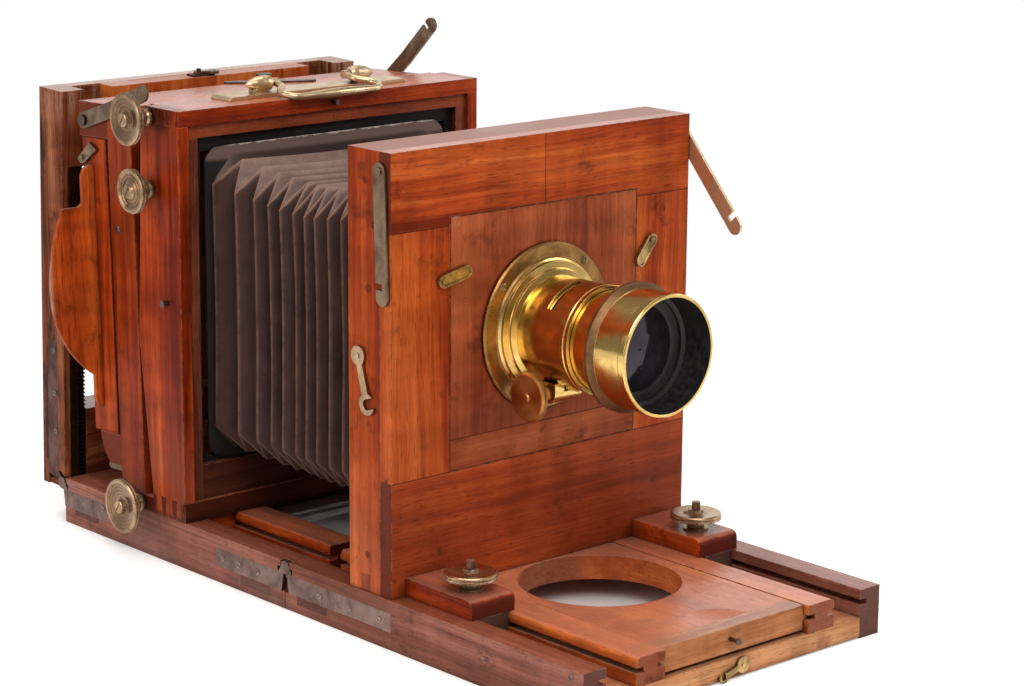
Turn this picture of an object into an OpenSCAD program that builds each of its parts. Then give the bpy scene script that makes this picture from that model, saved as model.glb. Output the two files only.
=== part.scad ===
// Wet plate camera with a sliding front standard, a swinging back and a folding tailboard.
// Millimetres. Z is up from the underside of the base, the lens looks along -Y, and X runs
// across. X = 0 is the middle of the camera and Y = 0 is the joint between the front and
// middle sections of the base.

/* [Base] */
// Width of the base across its outer rails
base_w = 280; // [272:1:292]
// Height of the outer rails
rail_h = 35; // [32:0.5:38]
// Width of each outer rail
rail_w = 19.5; // [18:0.5:21]
// Width of the channel inside each outer rail
channel_w = 27; // [25:0.5:30]
// Width of each runner beside the channel
runner_w = 25.5; // [22:0.5:28]
// Thickness of the runners and of the cross rails' rebate
runner_h = 20; // [18:0.5:22]
// Length of the front base section
front_len = 309; // [295:1:325]
// Length of the middle base section
mid_len = 278.5; // [270:0.5:300]
// Width of the cross rails under the runners
cross_w = 45; // [30:1:55]
// Width of the board at the rear end of the middle section
rear_board_w = 78; // [70:1:80]
// Thickness of the sliding centre panel
panel_t = 18; // [15:0.5:19]
// Diameter of the round hole in the centre panel
panel_hole_d = 114; // [80:1:120]
// Distance of that hole's centre in front of the middle joint
panel_hole_y = 176; // [165:1:185]
// Height of the guide grooves in rails and runners
groove_h = 4; // [3:0.25:5]
// Depth of the guide grooves
groove_d = 6.5; // [5:0.25:8]
// Diameter of the thread in the tripod bush
bush_bore_d = 9.5; // [6:0.25:12]

/* [Tailboard] */
// Length of the tailboard from its hinge end
tail_len = 312; // [300:1:330]
// Thickness of the tailboard
tail_t = 30; // [26:0.5:32]
// Angle between the folded tailboard and its flat, open position
tail_fold = 91.93; // [90:0.01:92]
// Radius of the strap hinges' eyes
eye_r = 4.8; // [4:0.1:5.5]
// Diameter of the hinge pins
hinge_pin_d = 3.4; // [2.5:0.1:4]
// Length of the solid cross piece next to the hinge
tail_cross_len = 62; // [50:1:80]
// Thickness of the tailboard's boards
tail_board_t = 18; // [14:0.5:20]
// Width of the cross rail under the tailboard's free end
tail_end_w = 45; // [30:1:55]
// Distance of the racks' ends from the free end
tail_rack_end = 58; // [40:1:80]

/* [Rack and pinion] */
// Module of the focusing rack at the back
rack_m = 1; // [0.9:0.05:1.1]
// Number of pinion leaves
pinion_n = 12; // [11:1:13]
// Width of the toothed strips
rack_w = 6.5; // [5:0.25:7]
// Diameter of the pinion shaft
shaft_d = 6; // [5:0.25:7]
// Diameter of the focusing knobs
rack_knob_d = 41; // [34:1:46]

/* [Rear box] */
// Depth from the middle joint to the front face of the box
box_front = 117; // [112:0.5:122]
// Height of box and front standard above the rails
box_h = 305; // [290:1:315]
// Thickness of the box sides
side_t = 9; // [7.5:0.5:10]
// Thickness of the top board
top_t = 11.5; // [10:0.5:13]
// Thickness of the bottom board
bottom_t = 15; // [12:0.5:16]
// Depth of the box sides at the swing pivot
box_d = 54; // [50:0.5:58]
// Diameter of the upper clamp knob
upper_knob_d = 38; // [32:1:42]
// Diameter of the side clamp knob
lower_knob_d = 33; // [28:1:38]

/* [Swing back] */
// Height of the swing pivot above the rails
pivot_h = 131; // [125:0.5:137]
// Backward lean of the swing back
swing_tilt = 2; // [1:0.1:2.4]
// Radius of the cheeks' lower ends about the pivot
cheek_r = 120; // [118:0.5:122]
// Depth of the swing cheeks
cheek_d = 30; // [26:0.5:34]
// Thickness of the plate holder
holder_t = 30; // [26:0.5:34]
// Height of the plate holder's lower edge above the rails
holder_foot = 52; // [48:0.5:58]
// Width of the bars round the plate holder's opening
holder_bar = 25; // [20:0.5:30]
// Thickness of the dark slide
slide_t = 3; // [2:0.25:3.5]
// Reach of the dark slide's pull beyond the holder
pull_reach = 41.4; // [34:0.2:44]
// Length of the side links between their centres
link_len = 82; // [79:1:88]

/* [Front standard] */
// Width of the front standard
front_w = 276; // [270:1:286]
// Depth of the front standard
front_d = 45; // [38:1:50]
// Distance of its rear face in front of the middle joint
front_y = 72.5; // [70:0.5:76]
// Thickness of the front standard's case
case_t = 10; // [8:0.5:12]
// Height of the board above the lens opening
face_head = 54; // [48:0.5:60]
// Height of the lens opening
lens_board_h = 170.5; // [160:0.5:176]
// Width of the lens board
lens_board_w = 174; // [160:1:180]
// Length of the clamping feet
foot_len = 68.5; // [60:0.5:74]
// Width of the clamping feet
foot_w = 38; // [34:0.5:40]
// Thickness of the clamping feet
foot_t = 13; // [10:0.5:15]
// Diameter of the thumb nuts
nut_d = 36.8; // [30:0.2:37.6]
// Diameter of the clamping studs
stud_d = 6; // [5:0.25:7]

/* [Lens] */
// Height of the lens axis above the opening's lower edge
lens_rise = 90; // [82:0.5:96]
// Diameter of the mounting flange
flange_d = 118; // [108:1:122]
// Outside diameter of the lens jacket
jacket_d = 74; // [70:0.5:76]
// Length of the jacket in front of the lens board
jacket_len = 62.5; // [56:0.5:64]
// Wall of the jacket
jacket_t = 1.6; // [1.2:0.1:2]
// Diameter of the hood at its front rim
hood_d = 84; // [80:0.5:88]
// Length of the hood
hood_len = 35; // [30:0.5:40]
// Distance that the sliding tube shows between jacket and hood
tube_show = 24; // [23:0.5:28]
// Diameter of the front glass
glass_d = 60; // [54:0.5:62]
// Diameter of the lens focusing knob
focus_knob_d = 34.4; // [28:0.2:36]

/* [Bellows] */
// Half width of the bellows
bellows_x = 112; // [106:0.5:113]
// Height of the bellows' underside above the rails
bellows_foot = 49; // [44:0.5:52]
// Distance of the bellows' top below the box's top
bellows_head = 36; // [33:0.5:40]
// Number of folds in each half
folds = 6; // [5:1:8]
// Depth of each fold
fold_d = 9; // [6:0.5:10]

/* [Hidden] */
$fn = 64;
eps = 0.01;
// Running clearance between wood and wood, and between pins and their holes
slip = 0.4;
pin_slip = 0.2;
half_w = base_w / 2;
rail_in = half_w - rail_w;
runner_out = rail_in - channel_w;
runner_in = runner_out - runner_w;
joint_gap = 0.6;
// The joint lies just in front of Y = 0, which is on the first cross rail behind it
joint_y = -1.5;
joint_front = joint_y - joint_gap / 2;
joint_back = joint_y + joint_gap / 2;
bush_y = joint_back + cross_w / 2;
groove_z = rail_h - 9;
strap_t = 1.9;
strap_z = 19.2;
strap_w = 13.5;
eye_drop = eye_r;
front_strap = 117;
mid_strap = 82;
tail_strap = 58;
tail_leaf = 112;
mid_axis_z = rail_h - eye_drop;
cove_r = eye_r + 2.4;
tail_gap = 0.3;
tail_axis_y = mid_len + eye_r;
tail_axis_z = rail_h - eye_drop;
tail_y0 = mid_len + tail_gap;
tail_y1 = tail_y0 + tail_len;
tail_cross_y = tail_y0 + tail_cross_len;
tail_rack_y = tail_y1 - tail_rack_end;
pitch_r = rack_m * pinion_n / 2;
shaft_y = box_front + 55;
shaft_z = rail_h - rack_m + pitch_r;
rack_x = rail_in + 0.2;
box_z = rail_h;
box_top = rail_h + box_h;
box_x = half_w + 1;
box_in = box_x - side_t;
pivot_y = box_front + 35;
pivot_z = rail_h + pivot_h;
apex_y = box_front + box_d;
block_y = box_front + 40;
block_len = 40;
block_h = 13;
block_in = rail_in + rack_w + 1.2;
cheek_y = apex_y + 0.5;
cheek_back = cheek_y + cheek_d;
cheek_top = box_top - 3;
swing_rail_z = cheek_top - 26;
holder_h = box_h - 30 - holder_foot;
holder_z = swing_rail_z - 1 - holder_h;
holder_y = cheek_back + 6;
holder_x = half_w - 1;
slide_y = holder_y + holder_t * 0.58;
slide_top = holder_z + holder_h - 20;
slide_bottom = holder_z + 19;
link_w = 12;
link_t = 2;
link_y = cheek_back + 27.5;
link_z = swing_rail_z + 12.2;
link_bore = 4;
front_x = front_w / 2;
face_t = 12;
front_face_y = -front_y - front_d;
face_top = box_top - face_head;
face_bottom = face_top - lens_board_h;
lens_z = face_bottom + lens_rise;
board_x = lens_board_w / 2;
board_t = 8.5;
board_y = front_face_y + board_t;
foot_x = (rail_in + runner_out) / 2;
stud_y = front_face_y - 45.5;
nut_z = rail_h + foot_t + 7;
jacket_r = jacket_d / 2;
jacket_end = front_face_y - jacket_len;
tube_r = jacket_r - jacket_t - 0.3;
hood_y = jacket_end - tube_show;
hood_end = hood_y - hood_len;
lens_m = 0.7;
lens_n = 10;
lens_rack_z = lens_z - tube_r - 2.7;
lens_pinion_z = lens_rack_z + lens_m - lens_m * lens_n / 2;
lens_pinion_y = front_face_y - 25.5;
bellows_h = box_h - bellows_foot - bellows_head;
bellows_z = rail_h + bellows_foot + bellows_h / 2;
bellows_y0 = box_front + 9;
bellows_y1 = -front_y;
bellows_mid = (bellows_y0 + bellows_y1) / 2;

// Shared shapes

module both() {
  children();
  mirror([1, 0, 0]) children();
}

module bar(x0, x1, y0, y1, z0, z1) {
  translate([x0, y0, z0]) cube([x1 - x0, y1 - y0, z1 - z0]);
}

// A flat outline in Y and Z, made thick along X from x
module along_x(x, t) {
  translate([x, 0, 0]) rotate([90, 0, 90]) linear_extrude(t) children();
}

// A flat outline in X and Z, made thick along Y from y
module along_y(y, t) {
  translate([0, y + t, 0]) rotate([90, 0, 0]) linear_extrude(t) children();
}

module pin_x(x0, x1, y, z, r) {
  translate([x0, y, z]) rotate([0, 90, 0]) cylinder(r = r, h = x1 - x0);
}

module pin_y(y0, y1, x, z, r) {
  translate([x, y0, z]) rotate([-90, 0, 0]) cylinder(r = r, h = y1 - y0);
}

// A bar with round ends between two points of a flat outline, with a hole at its first end
module strap2d(p, q, w, bore = 0) {
  a = atan2(q[1] - p[1], q[0] - p[0]);
  l = norm([q[0] - p[0], q[1] - p[1]]);
  translate(p) rotate(a) difference() {
    union() {
      circle(r = w / 2);
      translate([0, -w / 2]) square([l, w]);
      translate([l, 0]) circle(r = w / 2);
    }
    if (bore > 0) circle(r = bore);
  }
}

// Dovetail tails along the end of a board that is w wide, each d long and widest at its tip
module tails(w, d, n, over = 0) {
  pitch = w / n;
  for (i = [0 : n - 1])
    translate([pitch * (i + 0.5), 0])
      polygon([[-pitch * 0.24, -over], [-pitch * 0.24, 0], [-pitch * 0.35, d],
               [-pitch * 0.35, d + over], [pitch * 0.35, d + over], [pitch * 0.35, d],
               [pitch * 0.24, 0], [pitch * 0.24, -over]]);
}

// Trapezoid rack teeth along +Y, tips at z = 0
module rack_profile(len, m) {
  pitch = PI * m;
  n = floor(len / pitch);
  difference() {
    translate([0, -2.25 * m - 1.2]) square([len, 2.25 * m + 1.2]);
    for (i = [0 : n - 1])
      translate([(i + 0.5) * pitch, 0])
        polygon([[-pitch * 0.26 - 0.36 * m, eps], [-pitch * 0.26 + 0.45 * m, -2.25 * m],
                 [pitch * 0.26 - 0.45 * m, -2.25 * m], [pitch * 0.26 + 0.36 * m, eps]]);
  }
}

// Pinion leaves with a leaf pointing along -Y of the flat outline
module pinion_profile(m, n) {
  r = m * n / 2;
  circle(r = r - 1.15 * m);
  for (i = [0 : n - 1])
    rotate(i * 360 / n)
      polygon([[-0.85 * m, -r + 1.3 * m], [-0.62 * m, -r], [-0.3 * m, -r - 0.9 * m],
               [0.3 * m, -r - 0.9 * m], [0.62 * m, -r], [0.85 * m, -r + 1.3 * m]]);
}

// Dished brass knob turned about +Z, with its ribbed collar standing on z = 0
module knob(d, reach, stem_r, stem_len, cone = 0) {
  r = d / 2;
  z = reach - 5;
  rib = (z - 0.9) / 3;
  rotate_extrude($fn = 96)
    polygon(concat([[0, -stem_len], [stem_r, -stem_len], [stem_r, 0.4]],
      [for (i = [0 : 2]) each [[5.6, 0.4 + i * rib], [6.7, 0.4 + (i + 0.3) * rib],
                               [6.7, 0.4 + (i + 0.7) * rib], [5.6, 0.4 + (i + 1) * rib]]],
      [[5.6, z], [r - 3, z], [r, z + 1], [r, z + 2], [r - 0.7, z + 2.5], [r, z + 3],
       [r, z + 4.2], [r - 1.2, z + 5], [r - 2.6, z + 5], [9 + cone, z + 3.2],
       [6, z + 3.6 + cone], [5.2, z + 6.4], [4.2, z + 7], [0, z + 7]]));
}

// Front and middle sections of the base

module rail_grooves(y0, y1) {
  bar(rail_in - eps, rail_in + groove_d, y0, y1, groove_z - groove_h / 2,
      groove_z + groove_h / 2);
}

module strap_recess(y0, y1) {
  bar(half_w - strap_t, half_w + 1, y0, y1, strap_z - strap_w / 2, strap_z + strap_w / 2);
}

module eye_recess(y, r) {
  pin_x(half_w - 2 * strap_t - 0.3, half_w + 1, y, mid_axis_z, r);
  bar(half_w - 2 * strap_t - 0.3, half_w + 1, y - r - 3.3, y + r + 3.3,
      strap_z - strap_w / 2, mid_axis_z);
  bar(half_w - 2 * strap_t - 0.3, half_w + 1, y - r, y + r, mid_axis_z, rail_h + 1);
  pin_x(half_w - 13, half_w, y, mid_axis_z, hinge_pin_d / 2);
}

module front_rails() {
  color("#9a4a2c") both() difference() {
    bar(rail_in, half_w, -front_len, joint_front, 0, rail_h);
    rail_grooves(-front_len - 1, 0);
    strap_recess(joint_y - front_strap, 1);
    eye_recess(joint_y, eye_r + 0.4);
  }
}

module mid_rails() {
  color("#9a4a2c") both() difference() {
    bar(rail_in, half_w, joint_back, mid_len, 0, rail_h);
    rail_grooves(-5, mid_len + 1);
    strap_recess(-5, joint_y + mid_strap);
    eye_recess(joint_y, eye_r + 0.4);
    strap_recess(mid_len - tail_strap, mid_len + 1);
    bar(half_w - strap_t, half_w + 1, mid_len - 4, mid_len + 1, strap_z, mid_axis_z);
    pin_x(rail_in - 1, half_w + 1, tail_axis_y, tail_axis_z, cove_r);
    bar(rail_in - 1, rack_x + rack_w - 0.2, base_rack_y, base_rack_y + base_rack_n * rack_pitch,
        rail_h - 2.25 * rack_m - 1.2, rail_h + 1);
  }
}

module runner(y0, y1, r) {
  difference() {
    union() {
      bar(runner_in, runner_out - r, y0, y1, rail_h - runner_h, rail_h);
      bar(runner_out - r - eps, runner_out, y0, y1, rail_h - runner_h, rail_h - r);
      intersection() {
        pin_y(y0, y1, runner_out - r, rail_h - r, r);
        bar(runner_out - r - eps, runner_out, y0, y1, rail_h - r - eps, rail_h);
      }
    }
    bar(runner_out - groove_d, runner_out + 1, y0 - 1, y1 + 1, groove_z - groove_h / 2,
        groove_z + groove_h / 2);
    bar(runner_in - 1, runner_in + groove_d, y0 - 1, y1 + 1, groove_z - groove_h / 2,
        groove_z + groove_h / 2);
  }
}

module front_runners() {
  color("#b98468") both() runner(-front_len, -6, 4);
}

module mid_runners() {
  color("#b98468") both() runner(6, mid_len - rear_board_w, 1);
}

module cross_rails() {
  z1 = rail_h - runner_h;
  color("#8c4228") {
    bar(-rail_in, rail_in, -front_len, -front_len + cross_w, 1, z1);
    bar(-rail_in, rail_in, joint_front - cross_w, joint_front, 0, z1);
    difference() {
      bar(-rail_in, rail_in, joint_back, joint_back + cross_w, 0, z1);
      translate([0, bush_y, -1]) cylinder(r = bush_bore_d / 2 + 4.5, h = rail_h);
    }
  }
}

// The board that closes the frame next to the tailboard's hinge
module rear_board() {
  color("#a5654a") difference() {
    bar(-rail_in, rail_in, mid_len - rear_board_w, mid_len, 1, rail_h);
    pin_x(-rail_in - 1, rail_in + 1, tail_axis_y, tail_axis_z, cove_r);
  }
}

// Outer half of a lapped strap hinge, with its eye at the origin and its strap along +Y
module outer_leaf(len) {
  difference() {
    union() {
      along_x(half_w - strap_t, strap_t) strap_outline(len);
    }
    pin_x(half_w - strap_t - 1, half_w + 1, 0, 0, hinge_pin_d / 2);
  }
}

module inner_leaf(len) {
  difference() {
    union() {
      along_x(half_w - 2 * strap_t - 0.1, strap_t) eye_outline();
      along_x(half_w - 2 * strap_t - 0.1, 2 * strap_t + 0.1) difference() {
        eye_neck();
        circle(r = eye_r + 0.4);
      }
      along_x(half_w - strap_t, strap_t) difference() {
        strap_outline(len);
        circle(r = eye_r + 0.4);
      }
    }
    pin_x(half_w - 2 * strap_t - 1, half_w + 1, 0, 0, hinge_pin_d / 2 + 0.08);
  }
}

module eye_outline() {
  circle(r = eye_r);
  eye_neck();
}

module eye_neck() {
  polygon([[0, -eye_r], [0, 0], [eye_r + 1.5, -eye_r + 1], [eye_r + 3.5, -eye_r - 4],
           [eye_r - 0.4, -eye_r - 4]]);
}

module strap_outline(len) {
  drop = strap_z - mid_axis_z;
  circle(r = eye_r);
  polygon([[0, -eye_r], [0, eye_r], [eye_r, 0], [eye_r + 3, drop + strap_w / 2],
           [len, drop + strap_w / 2], [len, drop - strap_w / 2],
           [eye_r - 0.5, drop - strap_w / 2], [eye_r - 2.5, -eye_r]]);
}

module base_hinges() {
  color("#a08c76") both() {
    translate([0, joint_y, mid_axis_z]) outer_leaf(mid_strap);
    translate([0, joint_y, mid_axis_z]) mirror([0, 1, 0]) inner_leaf(front_strap);
    pin_x(half_w - 12, half_w, joint_y, mid_axis_z, hinge_pin_d / 2);
    translate([0, tail_axis_y, tail_axis_z]) mirror([0, 1, 0]) outer_leaf(tail_strap + eye_r);
    pin_x(half_w - 12, half_w, tail_axis_y, tail_axis_z, hinge_pin_d / 2);
  }
}

module rack_strip(y0, len) {
  translate([0, y0, rail_h]) along_x(rack_x, rack_w - 0.2) rack_profile(len, rack_m);
}

// One tooth space of the rack sits under the pinion's lowest leaf
rack_pitch = PI * rack_m;
base_rack_n = 24;
base_rack_y = shaft_y - (base_rack_n - 7 + 0.5) * rack_pitch;

module base_racks() {
  color("#5a4030") both() rack_strip(base_rack_y, base_rack_n * rack_pitch);
}

module tripod_bush() {
  z1 = rail_h - runner_h;
  color("#b08d45") translate([0, bush_y, 0]) difference() {
    union() {
      cylinder(r = bush_bore_d / 2 + 4.5, h = z1);
      translate([0, 0, z1]) cylinder(r = bush_bore_d / 2 + 10, h = 2);
    }
    translate([0, 0, -1]) cylinder(r = bush_bore_d / 2, h = rail_h);
  }
}

// Sliding panel between the front runners

panel_y = -front_len + 4.5;
panel_end_y = panel_y + 14;

module panel_board(y0, y1) {
  x = runner_in - slip;
  bar(-x, x, y0, y1, rail_h - panel_t, rail_h - 0.4);
  both() bar(x - eps, runner_in + groove_d / 2, y0, y1, groove_z - groove_h / 2 + 0.3,
             groove_z + groove_h / 2 - 0.3);
}

module centre_panel() {
  color("#b5795c") difference() {
    panel_board(panel_end_y, -6);
    translate([0, -panel_hole_y, 0]) cylinder(r = panel_hole_d / 2, h = rail_h + 1, $fn = 128);
    // Finger scoop behind the end piece
    translate([2.5, panel_end_y, rail_h + 83.6]) sphere(r = 87.5);
  }
}

// End piece across the grain at the panel's front
module panel_end() {
  color("#b5795c") panel_board(panel_y, panel_end_y);
}

stud_x = -3.4;
stud_z = rail_h - 8.5;

module panel_stud() {
  y0 = panel_y;
  color("#b08d45") {
    pin_y(y0 - 7.2, y0, stud_x, stud_z, 1.4);
    pin_y(y0 - 8.4, y0 - 7.2, stud_x, stud_z, 2.4);
  }
}

// Brass hook lying on a face: outline with its pivot at the origin and its tip along +X
module hook2d(len, eye, shaft, tip) {
  difference() {
    union() {
      circle(r = eye);
      translate([0, -shaft / 2]) square([len, shaft]);
      translate([len, 0]) circle(r = tip);
    }
    translate([len, 0]) circle(r = tip / 2);
    translate([len - tip / 2, -tip * 2]) square([tip, tip * 2]);
  }
}

hook_x = 3;
hook_z = 8.8;

module base_hook() {
  y = -front_len;
  color("#b08d45") {
    along_y(y - 2.4, 1.6) translate([hook_x, hook_z]) rotate(195.8)
      hook2d(norm([stud_x - hook_x, stud_z - hook_z]), 5.6, 4, 3.8);
    pin_y(y - 3.2, y, hook_x, hook_z, 1.6);
  }
}

// Tailboard, drawn flat behind the base and then folded up

module tail_pose() {
  translate([0, tail_axis_y, tail_axis_z]) rotate([tail_fold, 0, 0])
    translate([0, -tail_axis_y, -tail_axis_z]) children();
}

module tail_corner() {
  pin_x(half_w - 2 * strap_t - 0.5, half_w + 1, tail_axis_y, tail_axis_z, cove_r + 0.2);
}

module tail_rails() {
  z0 = rail_h - tail_t;
  color("#9a4a2c") tail_pose() both() difference() {
    bar(rail_in - 0.5, half_w, tail_y0, tail_y1, z0, rail_h);
    tail_corner();
    bar(half_w - strap_t, half_w + 1, tail_y0 - 1, tail_axis_y + tail_leaf,
        strap_z - strap_w / 2, strap_z + strap_w / 2);
    bar(rail_in - 2, half_w - 5.3, tail_y0 - 1, tail_rack_y, rail_h - 2.25 * rack_m - 1.2,
        rail_h + 1);
    pin_x(rail_in - 2, half_w + 1, tail_axis_y, tail_axis_z, hinge_pin_d / 2 + pin_slip);
    bar(half_w - 2 * strap_t - 0.3, half_w + 1, tail_axis_y, tail_axis_y + eye_r + 4,
        strap_z - strap_w / 2, tail_axis_z + 0.5);
  }
}

module tail_boards() {
  z0 = rail_h - tail_board_t;
  color("#b5795c") tail_pose() {
    both() bar(runner_in + 0.3, runner_out + 0.5, tail_cross_y, tail_y1, z0, rail_h);
    bar(-runner_in, runner_in, tail_cross_y, tail_y1, z0 + 1, rail_h - 0.5);
  }
}

module tail_cross() {
  z0 = rail_h - tail_t;
  x = rail_in - 0.5;
  color("#a5654a") tail_pose() {
    bar(-x, x, tail_y0, tail_cross_y, z0, rail_h);
    bar(-x, x, tail_y1 - tail_end_w, tail_y1, z0, rail_h - tail_board_t);
  }
}

module tail_racks() {
  n = floor((tail_len - tail_rack_end - 7) / rack_pitch);
  y0 = tail_rack_y - n * rack_pitch;
  color("#5a4030") tail_pose() both() {
    rack_strip(y0, n * rack_pitch);
    bar(rack_x + rack_w - 0.2 - eps, half_w - 5.3, y0, tail_rack_y,
        rail_h - 2.25 * rack_m - 1.2, rail_h);
  }
}

module tail_brass() {
  color("#a08c76") tail_pose() {
    both() translate([0, tail_axis_y, tail_axis_z]) inner_leaf(tail_leaf);
    // Bracket of the hook on the far end
    bar(-17, 3, tail_y1, tail_y1 + 1.6, rail_h - 12, rail_h - 2);
    pin_y(tail_y1 + 1.6, tail_y1 + 5.6, -9, rail_h - 7, 1.8);
  }
}

module tail_hook() {
  color("#b08d45") tail_pose() difference() {
    along_y(tail_y1 + 1.8, 2) translate([-9, rail_h - 7]) rotate(20) union() {
      circle(r = 4);
      translate([0, -2]) square([12, 4]);
      translate([12, 0]) difference() {
        circle(r = 4.5);
        circle(r = 2);
      }
    }
    pin_y(tail_y1, tail_y1 + 6, -9, rail_h - 7, 1.8 + pin_slip);
  }
}

// Rear box and its carriage

module box_side2d() {
  polygon([[box_front, box_z + bottom_t], [box_front, box_top - top_t],
           [apex_y - 8, box_top - top_t], [apex_y, pivot_z],
           [block_y, box_z + bottom_t]]);
  translate([box_front, box_top - top_t]) tails(block_y - box_front, top_t, 3);
  translate([box_front, box_z + bottom_t]) mirror([0, 1]) tails(block_y - box_front,
                                                               bottom_t, 3);
}

module box_sides() {
  color("#a8502c") difference() {
    both() along_x(box_in, side_t) box_side2d();
    pin_x(-box_x - 1, -box_in + 1, pivot_y, lower_z, 3 + pin_slip);
    pin_x(-box_x - 1, -box_in + 1, pivot_y, upper_z, 3 + pin_slip);
  }
}

upper_z = box_top - 7.5;
lower_z = box_top - 60;

module box_boards() {
  color("#a8502c") difference() {
    union() {
      bar(-box_x, box_x, box_front, block_y, box_top - top_t, box_top);
      bar(-box_in, box_in, block_y - eps, apex_y - 8, box_top - top_t, box_top);
      bar(-box_x, box_x, box_front, block_y, box_z, box_z + bottom_t);
    }
    both() along_x(box_in, side_t + 1) {
      translate([box_front, box_top - top_t]) tails(block_y - box_front, top_t, 3, 1);
      translate([box_front, box_z + bottom_t]) mirror([0, 1])
        tails(block_y - box_front, bottom_t, 3, 1);
    }
    pin_x(-box_x - 1, -box_in + 22, pivot_y, upper_z, 3 + pin_slip);
  }
}

module inner_frame() {
  y = box_front + 9;
  color("#2a2420") difference() {
    bar(-box_in, box_in, y, y + 8, box_z + bottom_t, box_top - top_t);
    bar(-bellows_x - 4, bellows_x + 4, y - 1, y + 9, bellows_z - bellows_h / 2 - 4,
        bellows_z + bellows_h / 2 + 4);
  }
}

// Trim round the opening, in front of the blackened board
module front_trim() {
  y = box_front + 3;
  color("#8c4228") difference() {
    bar(-box_in, box_in, y, y + 6, box_z + bottom_t, box_top - top_t);
    bar(-bellows_x - 10, bellows_x + 10, y - 1, y + 7, bellows_z - bellows_h / 2 - 8,
        bellows_z + bellows_h / 2 + 15);
  }
}

// Blocks that carry the pinion shaft and cradle the cheeks, with their stretcher and guides
module carriage_blocks() {
  color("#8c4228") {
    both() {
      difference() {
        bar(block_in, box_x, block_y, block_y + block_len, rail_h, pivot_z);
        pin_x(block_in - 1, box_x + 1, pivot_y, pivot_z, cheek_r + slip);
        pin_x(block_in - 1, box_x + 1, shaft_y, shaft_z, shaft_d / 2 + pin_slip);
      }
      // Guides that run in the channel grooves
      bar(runner_out + slip, rail_in - slip, block_y - 35, block_y - 2, rail_h - 13, rail_h);
      bar(runner_out - groove_d + 1, rail_in + groove_d - 1, block_y - 35, block_y - 2,
          groove_z - groove_h / 2 + 0.3, groove_z + groove_h / 2 - 0.3);
    }
    bar(-block_in, block_in, block_y + 27, block_y + block_len, rail_h, rail_h + block_h);
  }
}

module handle_plate() {
  color("#a08c76") difference() {
    handle_body();
    both() pin_x(ferrule_x - 1, ferrule_x + 14, bail_y, bail_z, bail_pin_r + pin_slip);
  }
}

module handle_body() {
  z = box_top;
  union() {
    difference() {
      bar(-83, 83, box_front + 16, box_front + 40, z, z + 3);
      both() translate([83, 0, z + 3]) rotate([0, 45, 0]) translate([-1.6, 0, -1.6])
        bar(0, 5, box_front, box_front + 60, 0, 5);
    }
    both() {
      bar(ferrule_x + 5, ferrule_x + 17, bail_y - 4.5, bail_y + 4.5, z + 3, bail_z - 3);
      translate([ferrule_x, bail_y, bail_z]) rotate([0, 90, 0]) rotate_extrude()
        polygon([[0, 0], [4, 0], [5.6, 2], [6, 5.5], [5.8, 10], [4.9, 15], [3.2, 19.5],
                 [1.3, 22.4], [0, 23]]);
    }
  }
}

bail_y = box_front + 28;
bail_z = box_top + 9;
bail_rest = -11.5;
bail_pin_r = 2;
ferrule_x = 37;

// Part of a round rod bent about the origin in X and Y
module bend(radius, r, a0, a) {
  rotate_extrude($fn = 96, start = a0, angle = a) translate([radius, 0]) circle(r = r, $fn = 32);
}

// Folding handle: each arm bows out round the ferrule and turns into the thicker grip
module bail() {
  r = 2.6;
  x = ferrule_x - 3;
  s = 6.69;
  d = 8 - 8 * cos(45) + s * cos(45);
  y = -7 - 8 * sin(45) - s * cos(45);
  c = 10;
  h = x + d - c * cos(45);
  color("#5b4a3a") translate([0, bail_y, bail_z]) rotate([-bail_rest, 0, 0]) {
    both() {
      pin_x(x - 3, ferrule_x - 0.3, 0, 0, 3.2);
      pin_x(x, ferrule_x + 12.5, 0, 0, bail_pin_r);
      pin_y(-7, 0, x, 0, r);
      translate([x + 8, -7, 0]) bend(8, r, 180, 45);
      translate([x + d, y, 0]) rotate([0, 0, 45]) {
        pin_y(0, s, 0, 0, r);
        pin_y(s - 1, s + 1, 0, 0, r - 0.4);
      }
      translate([h, y - c * sin(45), 0]) bend(c, r, -90, 135);
    }
    both() translate([0, y - c * sin(45) - c, 0]) rotate([0, 90, 0]) rotate_extrude()
      polygon([[0, -eps], [r + 1, -eps], [r + 1, 0], [r + 0.7, h * 0.4], [r + 0.1, h * 0.7],
               [r - 0.1, h - 0.1], [r - 0.1, h + 0.3], [0, h + 0.3]]);
  }
}

// Studs and pivot screws on the box
module catch_studs() {
  color("#b08d45") {
    both() {
      pin_x(box_x, box_x + 4.5, box_front + 16.4, lens_z - 7, 1.6);
      pin_x(box_x + 4.5, box_x + 5.5, box_front + 16.4, lens_z - 7, 2.6);
      pin_x(box_in - strap_t - 0.7, box_in, pivot_y, pivot_z, 3);
    }
    pin_y(box_front - 5, box_front, 0, box_top - 5.5, 1.8);
  }
}

module rack_pinion() {
  color("#5b4a3a") {
    pin_x(-box_x - 3, box_x + 3, shaft_y, shaft_z, shaft_d / 2);
    both() translate([0, shaft_y, shaft_z]) along_x(rack_x + 0.3, rack_w - 0.8)
      pinion_profile(rack_m, pinion_n);
  }
}

module rack_knobs() {
  color("#b3a04f") both() translate([box_x, shaft_y, shaft_z]) rotate([0, 90, 0]) difference() {
    knob(rack_knob_d, 20, shaft_d / 2, 0.2);
    translate([0, 0, -1]) cylinder(r = shaft_d / 2, h = 4);
  }
}

module clamp(z, d, reach, cone) {
  translate([box_x, pivot_y, z]) rotate([0, 90, 0]) knob(d, reach, 3, side_t + 3, cone);
}

module upper_knob_left() {
  color("#b3a04f") mirror([1, 0, 0]) clamp(upper_z, upper_knob_d, 22, 0);
}

module lower_knob_left() {
  color("#b3a04f") mirror([1, 0, 0]) clamp(lower_z, lower_knob_d, 19, 1.6);
}

// Swing back, drawn upright and then leaned back about its pivot

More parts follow.
